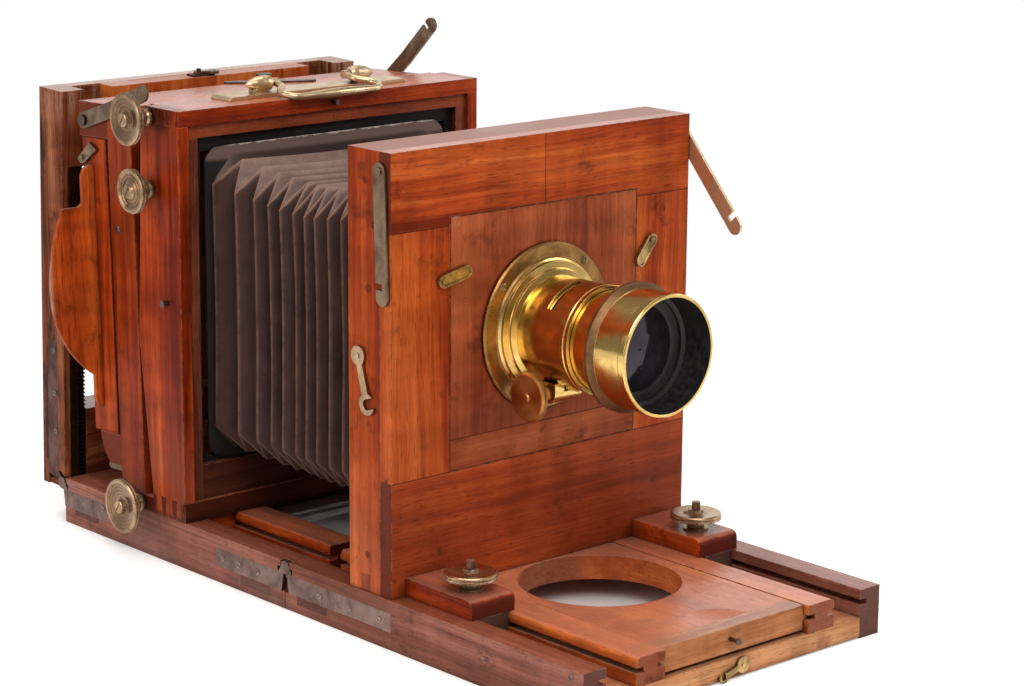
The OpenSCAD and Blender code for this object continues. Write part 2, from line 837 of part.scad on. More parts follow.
module swing_pose() {
  translate([0, pivot_y, pivot_z]) rotate([-swing_tilt, 0, 0])
    translate([0, -pivot_y, -pivot_z]) children();
}

module swing_cheeks() {
  color("#a8502c") swing_pose() both() intersection() {
    bar(box_in, box_x, cheek_y, cheek_back, 0, cheek_top);
    union() {
      pin_x(box_in, box_x, pivot_y, pivot_z, cheek_r);
      bar(box_in, box_x, cheek_y, cheek_back, pivot_z, cheek_top);
    }
  }
}

module swing_rails() {
  color("#a8502c") swing_pose() {
    bar(-box_in, box_in, cheek_y + 3, cheek_back + eps, swing_rail_z, cheek_top);
    bar(-box_x, box_x, cheek_back, cheek_back + 36, swing_rail_z, cheek_top);
    bar(-box_in, box_in, cheek_y + 12, cheek_back, rail_h + 22, holder_z);
    intersection() {
      bar(-box_x, box_x, cheek_back, cheek_back + 26, holder_z - 23, holder_z);
      pin_x(-box_x - 1, box_x + 1, cheek_back - 4, holder_z, 30);
    }
  }
}

module swing_brass() {
  color("#a08c76") swing_pose() {
    both() {
      // Pivot straps from the cheeks to the pivot screws
      difference() {
        along_x(box_in - strap_t, strap_t)
          strap2d([pivot_y, pivot_z], [cheek_y + 20, pivot_z], 14, 3 + pin_slip);
      }
      // Pivot screws of the side links
      pin_x(box_x, box_x + link_t + 1.2, link_y, link_z, link_bore / 2 + 0.4);
      pin_x(box_x + link_t + 1.2, box_x + link_t + 2.4, link_y, link_z, 4);
    }
    // Flat spring that holds the plate holder in
    translate([0, 0, cheek_top]) linear_extrude(1.4) strap2d([50, cheek_y + 33.5],
                                                             [1, cheek_back + 39], 11);
    translate([22, cheek_back + 24.4, cheek_top + 1.4]) cylinder(r = 4.5, h = 4);
    translate([22, cheek_back + 24.4, cheek_top + 5.4]) cylinder(r = 6, h = 1.6);
  }
}

// Strip under the bottom rail, with a round back edge
module drip_strip() {
  x = box_x - 2;
  z = holder_z - 23;
  color("#b09a80") swing_pose() {
    bar(-x, x, cheek_back + 2, cheek_back + 17.5, z - 5, z);
    pin_x(-x, x, cheek_back + 17.5, z - 2.5, 2.5);
  }
}

module plate_holder() {
  x = holder_x;
  z0 = holder_z;
  z1 = holder_z + holder_h;
  color("#93492d") swing_pose() {
    difference() {
      union() {
        bar(-x, x, holder_y, slide_y + slide_t + 3, z0, z1);
        bar(-box_in + 1, box_in - 1, cheek_back + 0.3, holder_y + eps, z0 + 1, z1 - 1);
      }
      bar(-x + holder_bar, x - holder_bar, cheek_back, holder_y + holder_t, z0 + holder_bar,
          z1 - holder_bar);
      // Slot for the dark slide, open at the left end
      bar(-x - 1, x - 19, slide_y, slide_y + slide_t + 0.5, slide_bottom - 0.3,
          slide_top + 0.3);
    }
    bar(-x, x, slide_y + slide_t + 3, holder_y + holder_t, z0, z1);
  }
}

// Outline of the dark slide with its shaped pull, in X and Z. The pull's lobe is flatter above
// its middle than below, and plain ends run on above and below it.
module slide2d() {
  x = holder_x;
  zc = (slide_bottom + slide_top) / 2;
  tip = -x - pull_reach;
  flat = 148;
  full = 82;
  translate([-x, slide_bottom]) square([2 * x - 20, slide_top - slide_bottom]);
  intersection() {
    translate([tip + flat, zc]) circle(r = flat, $fn = 200);
    translate([tip - 1, zc - eps]) square([pull_reach + 2, 61.5]);
  }
  intersection() {
    translate([tip + full, zc]) circle(r = full, $fn = 160);
    translate([tip - 1, zc - 70]) square([pull_reach + 2, 70]);
  }
  translate([-x - 10.5, zc]) square([12, slide_top - zc - 9]);
  translate([-x - 1.5, slide_top - 9]) circle(r = 9);
  difference() {
    translate([-x - 15.5, zc + 61]) square([6, 5.5]);
    translate([-x - 15.5, zc + 66.5]) circle(r = 5);
  }
  translate([-x - 6.5, slide_bottom + 8]) square([8, zc - slide_bottom - 8]);
  translate([-x + 1.5, slide_bottom + 8]) circle(r = 8);
}

module shutter() {
  color("#5e2a1a") swing_pose() along_y(slide_y + 0.25, slide_t) slide2d();
}

module shutter_catch() {
  y = holder_y;
  z = slide_top;
  color("#b08d45") swing_pose() {
    along_x(-holder_x - 3, 2.4)
      polygon([[y + 33.4, z + 3.7], [y + 17.2, z + 17], [y + 8.5, z + 12], [y + 26, z + 0.6],
               [y + 30.5, z + 0.4]]);
    pin_x(-holder_x - 4.4, -holder_x, y + 27.5, z + 4.8, 2.2);
  }
}

// Side links that hold the swing back, drawn with the pivot at the origin and reaching along -Y
module link2d(rest) {
  a = 180 - rest;
  difference() {
    union() {
      strap2d([0, 0], [cos(a) * link_len * 0.5, sin(a) * link_len * 0.5 - 1.5], link_w,
              link_bore);
      strap2d([cos(a) * link_len * 0.5, sin(a) * link_len * 0.5 - 1.5],
              [cos(a) * link_len, sin(a) * link_len], link_w);
    }
    // Slot that is open on the upper edge
    translate([cos(a) * (link_len - 5), sin(a) * (link_len - 5)]) rotate(a)
      translate([-2, -9]) square([4, 9]);
  }
}

module link(rest) {
  translate([0, link_y, link_z]) along_x(box_x + 0.4, link_t) difference() {
    link2d(rest);
    circle(r = link_bore / 2 + 0.4 + pin_slip);
  }
}

module link_left() {
  color("#5b4a3a") swing_pose() mirror([1, 0, 0]) link(20.2 - swing_tilt);
}

module link_right() {
  color("#5b4a3a") swing_pose() link(38 + swing_tilt);
}

// Front standard

module case_side2d() {
  y0 = front_face_y + face_t;
  translate([y0, rail_h + case_t]) square([front_d - face_t, box_h - 2 * case_t]);
  translate([y0, box_top - case_t]) tails(front_d - face_t, case_t, 3);
  translate([y0, rail_h + case_t]) mirror([0, 1]) tails(front_d - face_t, case_t, 3);
}

module front_case() {
  y0 = front_face_y + face_t;
  color("#a8502c") {
    both() along_x(front_x - case_t, case_t) case_side2d();
    for (top = [0, 1]) difference() {
      bar(-front_x, front_x, y0, -front_y, top ? box_top - case_t : rail_h,
          top ? box_top : rail_h + case_t);
      both() along_x(front_x - case_t, case_t + 1) {
        translate([y0, box_top - case_t]) tails(front_d - face_t, case_t, 3, 1);
        translate([y0, rail_h + case_t]) mirror([0, 1]) tails(front_d - face_t, case_t, 3, 1);
      }
    }
    // Frame at the rear that the bellows are fixed to
    difference() {
      bar(-front_x + case_t, front_x - case_t, -front_y - 8, -front_y, rail_h + case_t,
          box_top - case_t);
      bar(-bellows_x - 2, bellows_x + 2, -front_y - 9, -front_y + 1,
          bellows_z - bellows_h / 2 - 2, bellows_z + bellows_h / 2 + 2);
    }
  }
}

module front_face() {
  y0 = front_face_y;
  color("#b05a34") difference() {
    union() {
      bar(-front_x, front_x, y0, y0 + face_t, face_top, box_top);
      bar(-front_x, front_x, y0, y0 + face_t, rail_h, face_bottom);
      both() bar(board_x - 7, front_x, y0, y0 + face_t, face_bottom, face_top);
    }
    bar(-board_x, board_x, y0 - 1, board_y, face_bottom, face_top + 6);
  }
}

module lens_board() {
  y0 = front_face_y;
  z0 = face_bottom + 0.2;
  z1 = face_top + 5.8;
  x = board_x - 0.2;
  bead = 22;
  color("#c06a3c") difference() {
    union() {
      bar(-x, x, y0, board_y, z0 + bead, z1 - bead);
      bar(-x, x, y0, board_y, z0, z0 + bead);
      bar(-x, x, y0, board_y, z1 - bead, z1);
    }
    pin_y(y0 - 1, board_y + 1, 0, lens_z, jacket_r);
    // Way of the lens rack
    bar(-12, -2.3, y0 - 1, board_y + 1, lens_z - jacket_r - 2.6, lens_z);
  }
}

module feet() {
  y1 = front_face_y;
  y0 = y1 - foot_len;
  x0 = foot_x - foot_w / 2;
  r = 5;
  color("#a8502c") both() difference() {
    union() {
      bar(x0, x0 + foot_w, y0 + r, y1, rail_h, rail_h + foot_t);
      bar(x0, x0 + foot_w, y0, y0 + r + eps, rail_h, rail_h + foot_t - r);
      pin_x(x0, x0 + foot_w, y0 + r, rail_h + foot_t - r, r);
    }
    translate([foot_x, stud_y, 0]) cylinder(r = stud_d / 2 + pin_slip, h = rail_h + 30);
  }
}

// Channel blocks under the feet, with T plates in the grooves and the clamping studs
module front_guides() {
  y0 = front_face_y - foot_len;
  color("#c9ab8c") both() {
    bar(runner_out + slip, rail_in - slip, y0, front_face_y, rail_h - 13, rail_h);
    bar(runner_out - groove_d + 1, rail_in + groove_d - 1, y0, front_face_y,
        groove_z - groove_h / 2 + 0.3, groove_z + groove_h / 2 - 0.3);
    translate([foot_x, stud_y, rail_h - eps]) cylinder(r = stud_d / 2, h = foot_t + 20);
  }
}

// Thumb nut on its stud, with its collar standing on the foot
module thumb_nut(x) {
  r = nut_d / 2;
  z0 = rail_h + foot_t;
  translate([x, stud_y, z0]) rotate_extrude($fn = 96)
    polygon([[stud_d / 2 + pin_slip, 0], [9, 0], [9, 1.2], [6, 1.2], [6.6, 3], [6, 6.5],
             [r - 3, 7], [r, 8], [r, 9.4], [r - 0.7, 9.9], [r, 10.4], [r, 11.6],
             [r - 1.2, 12.4], [9, 11.6], [5.6, 12.2], [5, 14.5],
             [stud_d / 2 + pin_slip, 14.5]]);
}

module thumb_nut_left() {
  color("#b3a04f") thumb_nut(-foot_x);
}

module thumb_nut_right() {
  color("#b3a04f") thumb_nut(foot_x);
}

// Lens: fixed jacket, sliding tube with hood, and glasses. Radius and Y make the profiles.

module turned() {
  translate([0, 0, lens_z]) rotate([90, 0, 0]) rotate_extrude($fn = 120) children();
}

module lens_jacket() {
  f = -front_face_y;
  e = -jacket_end;
  r = jacket_r;
  b = r - jacket_t;
  color("#c9a14a") difference() {
    union() {
      turned() polygon([[b, f - 18], [r - 0.2, f - 18], [r - 0.2, f], [flange_d / 2, f],
        [flange_d / 2, f + 2.4], [flange_d / 2 - 1.4, f + 3.6], [r + 12, f + 4],
        [r + 11, f + 5], [r + 9.4, f + 6], [r + 9, f + 8], [r + 4.6, f + 8.6],
        [r + 4, f + 10.6], [r, f + 11.6], [r, e - 8], [r + 1, e - 7], [r + 1, e - 4.4],
        [r + 0.3, e - 3.8], [r + 1, e - 3.2], [r + 1, e], [b, e]]);
      // Housing of the focusing pinion
      pin_x(-20, 5, lens_pinion_y, lens_pinion_z, 7.2);
      bar(-20, 5, lens_pinion_y - 7.2, lens_pinion_y + 7.2, lens_pinion_z, lens_z - r + 4);
    }
    turned() square([b, 400]);
    pin_x(-21, -1, lens_pinion_y, lens_pinion_z, 2 + pin_slip);
    pin_x(-13, -1.5, lens_pinion_y, lens_pinion_z, 5.2);
    // Way of the rack in the jacket's underside
    bar(-11.5, -2.8, jacket_end - 1, front_face_y + 19, lens_z - r - 2.4, lens_z - 20);
    // Slot for the stop plates
    slot_cut(r, jacket_end + 22, jacket_end + 28, 92, 52);
  }
}

module slot_cut(r, y0, y1, a0, a) {
  translate([0, y1, lens_z]) rotate([90, 0, 0]) rotate_extrude($fn = 120, start = a0, angle = a)
    translate([r - 6, 0]) square([12, y1 - y0]);
}

module lens_tube() {
  e = -jacket_end;
  h = -hood_y;
  t = 1.8;
  back = -front_face_y - 4;
  hr = hood_d / 2;
  color("#d2a850") {
    difference() {
      union() {
        // Rack under the tube
        difference() {
          union() {
            translate([0, rack0, lens_rack_z]) mirror([0, 0, 1])
              along_x(-10.5, 6.8) rack_profile(lens_rack_n * PI * lens_m, lens_m);
            bar(-10.5, -3.7, rack0, rack0 + lens_rack_n * PI * lens_m,
                lens_rack_z + 2.25 * lens_m + 0.6, lens_z - tube_r + 3.4);
          }
          turned() square([tube_r - t + 0.4, 400]);
        }
        turned() polygon([[tube_r - t, back], [tube_r, back], [tube_r, h + 1], [hr + 2.2, h - 1],
          [hr + 2.9, h], [hr + 2.9, h + 2.4], [hr + 1.6, h + 3.6], [hr - 0.6, h + 6],
          [hr - 1.2, h + hood_len - 7], [hr - 0.4, h + hood_len - 6], [hr, h + hood_len - 5.6],
          [hr, h + hood_len - 0.8],
          [hr - 0.6, h + hood_len], [hr - 2.4, h + hood_len], [hr - 3.4, h + 12],
          [hr - 6, h + 10.6], [hr - 6, h + 8], [glass_d / 2 + 2, h + 7],
          [glass_d / 2, h + 6], [glass_d / 2, h + 2.4], [glass_d / 2 - 2, h + 2],
          [tube_r - t, h - 2]]);
      }
      slot_cut(tube_r, jacket_end + 24, jacket_end + 26, 92, 52);
    }
  }
}

lens_rack_n = 18;
rack0 = lens_pinion_y - (lens_rack_n / 2 + 0.5) * PI * lens_m;

module lens_glass() {
  h = -hood_y;
  r = glass_d / 2 - 0.05;
  b = -front_face_y;
  color("#9fb8bc") {
    turned() polygon([[0, h + 2.6], [r, h + 2.6], [r, h + 4], [r * 0.75, h + 5.9],
                      [r * 0.4, h + 7], [0, h + 7.4]]);
    turned() polygon([[0, b], [tube_r - 1.85, b], [tube_r - 1.85, b + 4], [0, b + 6]]);
  }
}

module focus_knob() {
  r = focus_knob_d / 2;
  color("#7c5a36") translate([-20.2, lens_pinion_y, lens_pinion_z]) rotate([0, -90, 0]) {
    rotate_extrude($fn = 80)
      polygon([[0, -19], [2, -19], [2, 0], [5, 0], [5.4, 3], [4, 6], [4, 14], [r - 1.5, 14.6],
               [r, 16], [r, 18.6], [r - 1.5, 20], [3, 20], [2.4, 21], [0, 21]]);
    translate([0, 0, -17]) linear_extrude(7) rotate(90) pinion_profile(lens_m, lens_n);
  }
}

// Turn buttons with raised rims, stays and hook on the front standard

module turn_button(p, q) {
  y = front_face_y - 2.6;
  along_y(y, 2.2) strap2d(p, q, 9);
  along_y(y - 0.8, 0.8 + eps) difference() {
    strap2d(p, q, 9);
    strap2d(p, q, 6.6);
  }
  pin_y(y - 1.4, y + 2.6, p[0], p[1], 2);
}

module button_left() {
  color("#b3a04f") turn_button([-94.4, face_top - 36.7], [-74.6, face_top - 32.5]);
}

module button_right() {
  color("#b3a04f") turn_button([100.1, face_top - 32.5], [89.5, face_top - 46]);
}

module stay2d(len) {
  difference() {
    strap2d([0, 0], [len, 0], 12);
    translate([len - 7, 0]) translate([-2.2, -8]) square([4.4, 9]);
  }
}

module stay_left() {
  y = front_face_y + 10;
  color("#b3a04f") {
    along_x(-front_x - 2.4, 2) translate([y, box_top - 13]) rotate(-92) mirror([0, 1])
      stay2d(84);
    pin_x(-front_x - 3.4, -front_x, y, box_top - 13, 3);
  }
}

module stay_right() {
  y = front_face_y + 10;
  color("#b3a04f") {
    along_x(front_x + 0.4, 2) translate([y, box_top - 13]) rotate(228) stay2d(84);
    pin_x(front_x, front_x + 3.4, y, box_top - 13, 3);
  }
}

module front_hook() {
  y = -front_y - 12.1;
  z = lens_z - 6.3;
  color("#b08d45") {
    along_x(-front_x - 2.4, 1.8) translate([y, z]) rotate(253.7) hook2d(33.5, 6.8, 6, 7.5);
    pin_x(-front_x - 3.2, -front_x, y, z, 2);
  }
}

// Bellows: a square sleeve with cut corners, folded in and out along its length

// One ring of the sleeve at y, drawn in by d all round
function ring(y, d, sag) =
  let (x = bellows_x - d, z = bellows_h / 2 - d, c = 18,
       zc = bellows_z - sag)
  [[x, y, zc - z + c], [x, y, zc + z - c], [x - c, y, zc + z], [-x + c, y, zc + z],
   [-x, y, zc + z - c], [-x, y, zc - z + c], [-x + c, y, zc - z], [x - c, y, zc - z]];

module sleeve(y0, y1, end0, end1) {
  n = folds * 2;
  wall = 1.4;
  span = bellows_y0 - bellows_y1;
  inset = [for (i = [0 : n]) i == 0 ? end0 : i == n ? end1 : i % 2 == 0 ? fold_d : 0];
  outer = [for (i = [0 : n]) let (y = y0 + (y1 - y0) * i / n)
    each ring(y, inset[i], 7 * sin(180 * (bellows_y0 - y) / span))];
  inner = [for (i = [0 : n]) let (y = y0 + (y1 - y0) * i / n)
    each ring(y, inset[i] + wall, 7 * sin(180 * (bellows_y0 - y) / span))];
  m = 8 * (n + 1);
  walls = [for (i = [0 : n - 1]) for (k = [0 : 7])
    let (a = 8 * i + k, b = 8 * i + (k + 1) % 8)
    each [[a, b, b + 8], [a, b + 8, a + 8],
          [m + b, m + a, m + b + 8], [m + a, m + a + 8, m + b + 8]]];
  ends = [for (k = [0 : 7]) let (a = k, b = (k + 1) % 8)
    each [[b, a, m + a], [b, m + a, m + b],
          [8 * n + a, 8 * n + b, m + 8 * n + b], [8 * n + a, m + 8 * n + b, m + 8 * n + a]]];
  polyhedron(concat(outer, inner), concat(walls, ends));
}

module bellows_front() {
  color("#33312f") sleeve(bellows_mid, bellows_y1, fold_d, -3.6);
}

module bellows_rear() {
  color("#33312f") sleeve(bellows_y0, bellows_mid, -5.6, fold_d);
}

front_rails();
front_runners();
mid_rails();
mid_runners();
cross_rails();
rear_board();
base_hinges();
base_racks();
tripod_bush();
centre_panel();
panel_end();
panel_stud();
base_hook();
tail_rails();
tail_boards();
tail_cross();
tail_racks();
tail_brass();
tail_hook();
box_sides();
box_boards();
inner_frame();
front_trim();
carriage_blocks();
handle_plate();
catch_studs();
rack_pinion();
rack_knobs();
upper_knob_left();
lower_knob_left();
bail();
swing_cheeks();
swing_rails();
swing_brass();
drip_strip();
plate_holder();
shutter();
shutter_catch();
link_left();
link_right();
front_case();
front_face();
lens_board();
feet();
front_guides();
thumb_nut_left();
thumb_nut_right();
lens_jacket();
lens_tube();
lens_glass();
focus_knob();
button_left();
button_right();
stay_left();
stay_right();
front_hook();
bellows_front();
bellows_rear();
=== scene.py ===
"""Looks of a wooden wet plate camera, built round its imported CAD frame.

The frame gives every dimension. This add-on paints its nodes, folds the
bellows, adds the screws, and sets up the stage.
"""

import math
import random
from collections import namedtuple
from types import SimpleNamespace

import bmesh
import bpy
import numpy as np
from bpy.props import FloatProperty, FloatVectorProperty, PointerProperty
from mathutils import Matrix, Vector


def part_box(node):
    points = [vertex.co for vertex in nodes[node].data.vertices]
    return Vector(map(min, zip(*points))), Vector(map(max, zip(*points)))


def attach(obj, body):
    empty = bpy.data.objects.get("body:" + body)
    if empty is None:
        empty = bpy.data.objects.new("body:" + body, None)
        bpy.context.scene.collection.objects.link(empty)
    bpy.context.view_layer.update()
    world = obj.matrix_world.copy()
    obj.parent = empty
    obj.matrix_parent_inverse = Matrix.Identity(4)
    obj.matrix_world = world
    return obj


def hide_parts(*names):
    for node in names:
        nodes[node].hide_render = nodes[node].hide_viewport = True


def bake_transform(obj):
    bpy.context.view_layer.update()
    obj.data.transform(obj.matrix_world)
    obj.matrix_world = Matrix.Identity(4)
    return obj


bl_info = {
    "name": "Wet Plate Camera Looks",
    "version": (1, 0, 0),
    "blender": (4, 5, 0),
    "location": "3D Viewport > Sidebar > Plate Camera",
    "description": "Finishes, bellows, fittings and stage for a wooden plate camera",
    "category": "Object",
}

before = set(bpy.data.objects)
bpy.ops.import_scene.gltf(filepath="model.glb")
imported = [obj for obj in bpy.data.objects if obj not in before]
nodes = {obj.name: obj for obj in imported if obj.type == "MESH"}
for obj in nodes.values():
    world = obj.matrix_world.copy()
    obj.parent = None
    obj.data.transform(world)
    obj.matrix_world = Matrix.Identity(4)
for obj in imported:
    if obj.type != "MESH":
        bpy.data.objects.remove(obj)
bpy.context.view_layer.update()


def centre(name):
    """The middle of a node's box, which is the axis of a turned one."""
    low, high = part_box(name)
    return [(a + b) / 2 for a, b in zip(low, high)]


# Places and sizes in metres

MM = 0.001
LENS_Z = centre("lens_jacket")[2]
FACE_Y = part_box("front_face")[0][1]
RAIL_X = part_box("front_rails")[1][0]
# Pivot of the swing back, as (y, z), and its lean in degrees
PIVOT = (0.152, 0.166)
LEAN = -2
# Joints of the front's boards, and of the clamp across the lens board
FOOT_TOP = 0.1155
HEAD_LOW = 0.2860
CLAMP_TOP = 0.1377
# Just inside the left side of the front standard
LEFT_X = -0.1372

# Linear colours that several materials share

JOINT = (0.01, 0.004, 0.003)
PEG = (0.045, 0.01, 0.005)
GOLD = ((0.82, 0.56, 0.19), (0.4, 0.225, 0.058))
KNOB = ((0.44, 0.285, 0.165), (0.165, 0.09, 0.05))
NUT = ((0.62, 0.43, 0.27), (0.26, 0.155, 0.085))
BRONZE = ((0.27, 0.185, 0.115), (0.105, 0.066, 0.042))


# Node trees


class Tree:
    """A node tree, built with one short call for each node."""

    def __init__(self, tree, output):
        self.tree = tree
        tree.nodes.clear()
        self.out = self.node(output)

    def node(self, kind, inputs=None, **options):
        node = self.tree.nodes.new("ShaderNode" + kind)
        for key, value in options.items():
            setattr(node, key, value)
        for key, value in (inputs or {}).items():
            socket = node.inputs[key]
            if isinstance(value, bpy.types.NodeSocket):
                self.tree.links.new(value, socket)
            elif socket.type == "RGBA" and len(value) == 3:
                socket.default_value = (*value, 1)
            else:
                socket.default_value = value
        return node

    def add(self, kind, inputs=None, output=0, **options):
        """One output of a new node."""
        return self.node(kind, inputs, **options).outputs[output]

    def end(self, shader):
        self.tree.links.new(shader, self.out.inputs["Surface"])

    def math(self, operation, a, b=0.0, clamp=False):
        return self.add("Math", {0: a, 1: b}, operation=operation, use_clamp=clamp)

    def times(self, product, *others):
        for other in others:
            product = self.math("MULTIPLY", product, other)
        return product

    def plus(self, total, *others):
        for other in others:
            total = self.math("ADD", total, other)
        return total

    def vector(self, operation, a, b=(0, 0, 0)):
        number = operation in ("DOT_PRODUCT", "DISTANCE", "LENGTH")
        return self.add("VectorMath", {0: a, 1: b}, "Value" if number else "Vector", operation=operation)

    def rays(self, *kinds):
        """1 for light paths of any of these kinds."""
        path = self.node("LightPath").outputs
        found = [path[f"Is {kind} Ray"] for kind in kinds]
        for other in found[1:]:
            found[0] = self.math("MAXIMUM", found[0], other)
        return found[0]


class Look(Tree):
    """A material, whose colour is laid on in layers."""

    def __init__(self, name):
        self.material = bpy.data.materials.new(name)
        self.material.use_nodes = True
        super().__init__(self.material.node_tree, "OutputMaterial")
        self.place = self.add("TexCoord", output="Object")
        self.facing = self.add("TexCoord", output="Normal")
        self.colour = None

    def finish(self, **values):
        """Ends the material with a surface of its colour and these values."""
        inputs = {key.replace("_", " "): value for key, value in values.items()}
        self.end(self.add("BsdfPrincipled", {"Base Color": self.colour, **inputs}))
        return self.material

    def tint(self, colour, *shares):
        """Lays a colour over the one so far, by the product of its shares."""
        self.colour = self.mix(self.times(*shares), self.colour, colour)

    def band(self, value, low, high, to_low=0.0, to_high=1.0):
        ends = {"Value": value, "From Min": low, "From Max": high, "To Min": to_low, "To Max": to_high}
        return self.add("MapRange", ends, interpolation_type="SMOOTHSTEP")

    def mix(self, share, a, b, blend="MIX"):
        return self.add("Mix", {0: share, 6: a, 7: b}, 2, data_type="RGBA", blend_type=blend)

    def blend(self, share, a, b):
        return self.add("Mix", {0: share, 2: a, 3: b}, data_type="FLOAT")

    def ramp(self, share, *stops):
        node = self.node("ValToRGB", {"Fac": share})
        points = node.color_ramp.elements
        while len(points) < len(stops):
            points.new(0.5)
        for point, (position, colour) in zip(points, stops):
            point.position = position
            point.color = (*colour, 1)
        return node.outputs["Color"]

    def stretch(self, scale, shift=(0, 0, 0), source=None):
        return self.add("Mapping", {"Vector": source or self.place, "Location": shift, "Scale": scale})

    def noise(self, vector, scale=1.0, detail=4.0, rough=0.55, distortion=0.0):
        inputs = {"Vector": vector, "Scale": scale, "Detail": detail, "Roughness": rough}
        return self.add("TexNoise", {**inputs, "Distortion": distortion})

    def axis(self, vector, name):
        return self.add("SeparateXYZ", {0: vector}, name)

    def here(self, name):
        return self.axis(self.place, name)

    def across(self, name):
        """1 on faces that look along an axis, either way."""
        return self.math("ABSOLUTE", self.axis(self.facing, name))

    def corners(self, radius):
        """The rounded normal, and how near a point is to an edge."""
        soft = self.add("Bevel", {"Radius": radius}, samples=4)
        flat = self.add("NewGeometry", output="Normal")
        return soft, self.math("SUBTRACT", 1.0, self.vector("DOT_PRODUCT", soft, flat), clamp=True)

    def crevice(self, distance):
        open_sky = self.add("AmbientOcclusion", {"Distance": distance}, "AO", samples=4)
        return self.math("SUBTRACT", 1.0, open_sky, clamp=True)

    def inside(self, x=(None, None), y=(None, None), z=(None, None), soft=0.0006):
        """1 in a box given by its limits in metres; None leaves a side open."""
        steps = []
        for name, limits in zip("XYZ", (x, y, z)):
            for edge, sign in zip(limits, (1, -1)):
                if edge is not None:
                    way = self.times(self.here(name), sign)
                    steps.append(self.band(way, edge * sign - soft, edge * sign + soft))
        return self.times(*steps)

    def near(self, point, radius):
        """1 at a point, falling to 0 at a radius."""
        return self.band(self.vector("DISTANCE", self.place, point), radius * 0.6, radius, 1.0, 0.0)

    def bump(self, height, distance, strength=1.0, normal=None):
        inputs = {"Height": height, "Distance": distance, "Strength": strength}
        if normal is not None:
            inputs["Normal"] = normal
        return self.add("Bump", inputs)


def settings():
    return bpy.context.scene.plate_camera


# Timber


# Linear colours of a timber, its fibres from dark to bright first, then its dark streaks' strength and its
# shine. Its eighth colour is a painted reflection laid on faces that look up.
Tone = namedtuple("Tone", "dark mid light bright pore end rub faded streak shine", defaults=(0.36, 0.07))


def fibres(s, axis, shift):
    """Colour, pores, threads and share of end grain where the grain runs along an axis."""

    def grain(across, along, start=shift, source=None):
        scale = [across] * 3
        scale["XYZ".index(axis)] = along
        return s.stretch(scale, start, source)

    bend = s.add("TexNoise", {"Vector": grain(11, 4), "Scale": 1.0, "Detail": 2.0}, "Color")
    sway = s.vector("SUBTRACT", bend, (0.5, 0.5, 0.5))
    sway = s.add("VectorMath", {0: sway, "Scale": 0.016}, operation="SCALE")
    bent = s.vector("ADD", s.place, sway)
    broad = s.noise(grain(34, 2.4, shift, bent), detail=3, rough=0.6)
    ribbon = s.noise(grain(150, 4.5, shift, bent), detail=3, rough=0.6)
    thread = s.noise(grain(560, 11, shift, bent), detail=3, rough=0.65)
    figure = s.plus(s.times(broad, 0.52), s.times(ribbon, 0.28), s.times(thread, 0.2))
    tone = s.tone
    colour = s.ramp(figure, (0.37, tone.dark), (0.47, tone.mid), (0.55, tone.light), (0.66, tone.bright))
    streak = s.band(s.noise(grain(240, 4, (shift[1], shift[2], shift[0]), bent), detail=3), 0.56, 0.7)
    colour = s.mix(s.times(streak, tone.streak), colour, tone.dark)
    # Curly figure with a painted sheen across the grain, as bands lighter and darker
    curl_and_sheen = s.band(s.noise(grain(9, 46), detail=2), 0.32, 0.68)
    colour = s.mix(0.55, colour, s.mix(curl_and_sheen, (0.72, 0.72, 0.72), (1.25, 1.25, 1.25)), "MULTIPLY")
    pores = s.band(s.noise(grain(1500, 95), detail=2, rough=0.6), 0.56, 0.68)
    return colour, pores, thread, s.band(s.across(axis), 0.75, 0.95)


def wood(name, axis, tone, seed, marks):
    """Polished and worn timber. marks(s) may change what fibres() gives."""
    s = Look(name)
    s.tone = tone
    s.shift = (seed * 1.7, seed * 2.3, seed * 3.1)
    s.colour, s.pores, s.threads, s.ends = fibres(s, axis, s.shift)
    if marks:
        marks(s)
    s.tint(tone.pore, s.pores, 0.55)
    # End grain drinks more stain and is duller
    speck = s.noise(s.place, 650, 3, 0.6)
    rings = s.noise(s.stretch((60, 60, 240), s.shift), detail=3)
    cut = s.mix(s.band(speck, 0.35, 0.75, 0, 0.45), tone.end, tone.pore)
    cut = s.mix(s.band(rings, 0.4, 0.7, 0, 0.4), cut, tone.dark)
    s.tint(cut, s.ends)
    # Old polish, darker and lighter by patches
    cloud = s.noise(s.stretch((8, 8, 8), s.shift), detail=4, rough=0.62)
    s.tint(tone.dark, s.band(cloud, 0.48, 0.7, 0, 0.5))
    blot = s.noise(s.stretch((30, 30, 30), s.shift), detail=5, rough=0.7)
    s.tint(tone.pore, s.band(blot, 0.57, 0.72, 0, 0.62))
    nick = s.noise(s.stretch((260, 260, 260), s.shift), detail=2)
    s.tint(tone.pore, s.band(nick, 0.7, 0.76), 0.7)
    # Rubbed edges, dirt along them, and painted shade in the corners
    soft, edge = s.corners(0.0012)
    chip = s.noise(s.place, 150, 3, 0.7)
    rub = s.times(s.band(edge, 0.03, 0.22), s.band(chip, 0.42, 0.62), settings().wear)
    s.tint(tone.pore, s.band(edge, 0.02, 0.2), s.band(chip, 0.55, 0.38), 0.45)
    s.tint(tone.rub, rub)
    # Painted shade: corners darkened by ambient occlusion
    s.tint(settings().shade, s.band(s.crevice(0.012), 0.25, 0.8), settings().shade_depth)
    up = s.band(s.axis(s.facing, "Z"), 0.6, 0.95)
    # Painted reflection: faces that look up are tinted paler
    s.tint(tone.faded, up, 0.3)
    rough = s.band(cloud, 0.3, 0.7, 0.3, 0.46)
    rough = s.plus(rough, s.times(s.ends, 0.14), s.times(rub, 0.25))
    height = s.math("SUBTRACT", s.times(s.threads, 0.3), s.pores)
    ripple = s.bump(s.noise(s.place, 38, 2), 0.0022, 0.2, soft)
    return s.finish(
        Roughness=s.math("SUBTRACT", rough, s.times(up, 0.14), clamp=True),
        Specular_IOR_Level=s.blend(up, tone.shine, 0.85),
        Normal=s.bump(height, 0.00016, 0.5, ripple),
    )


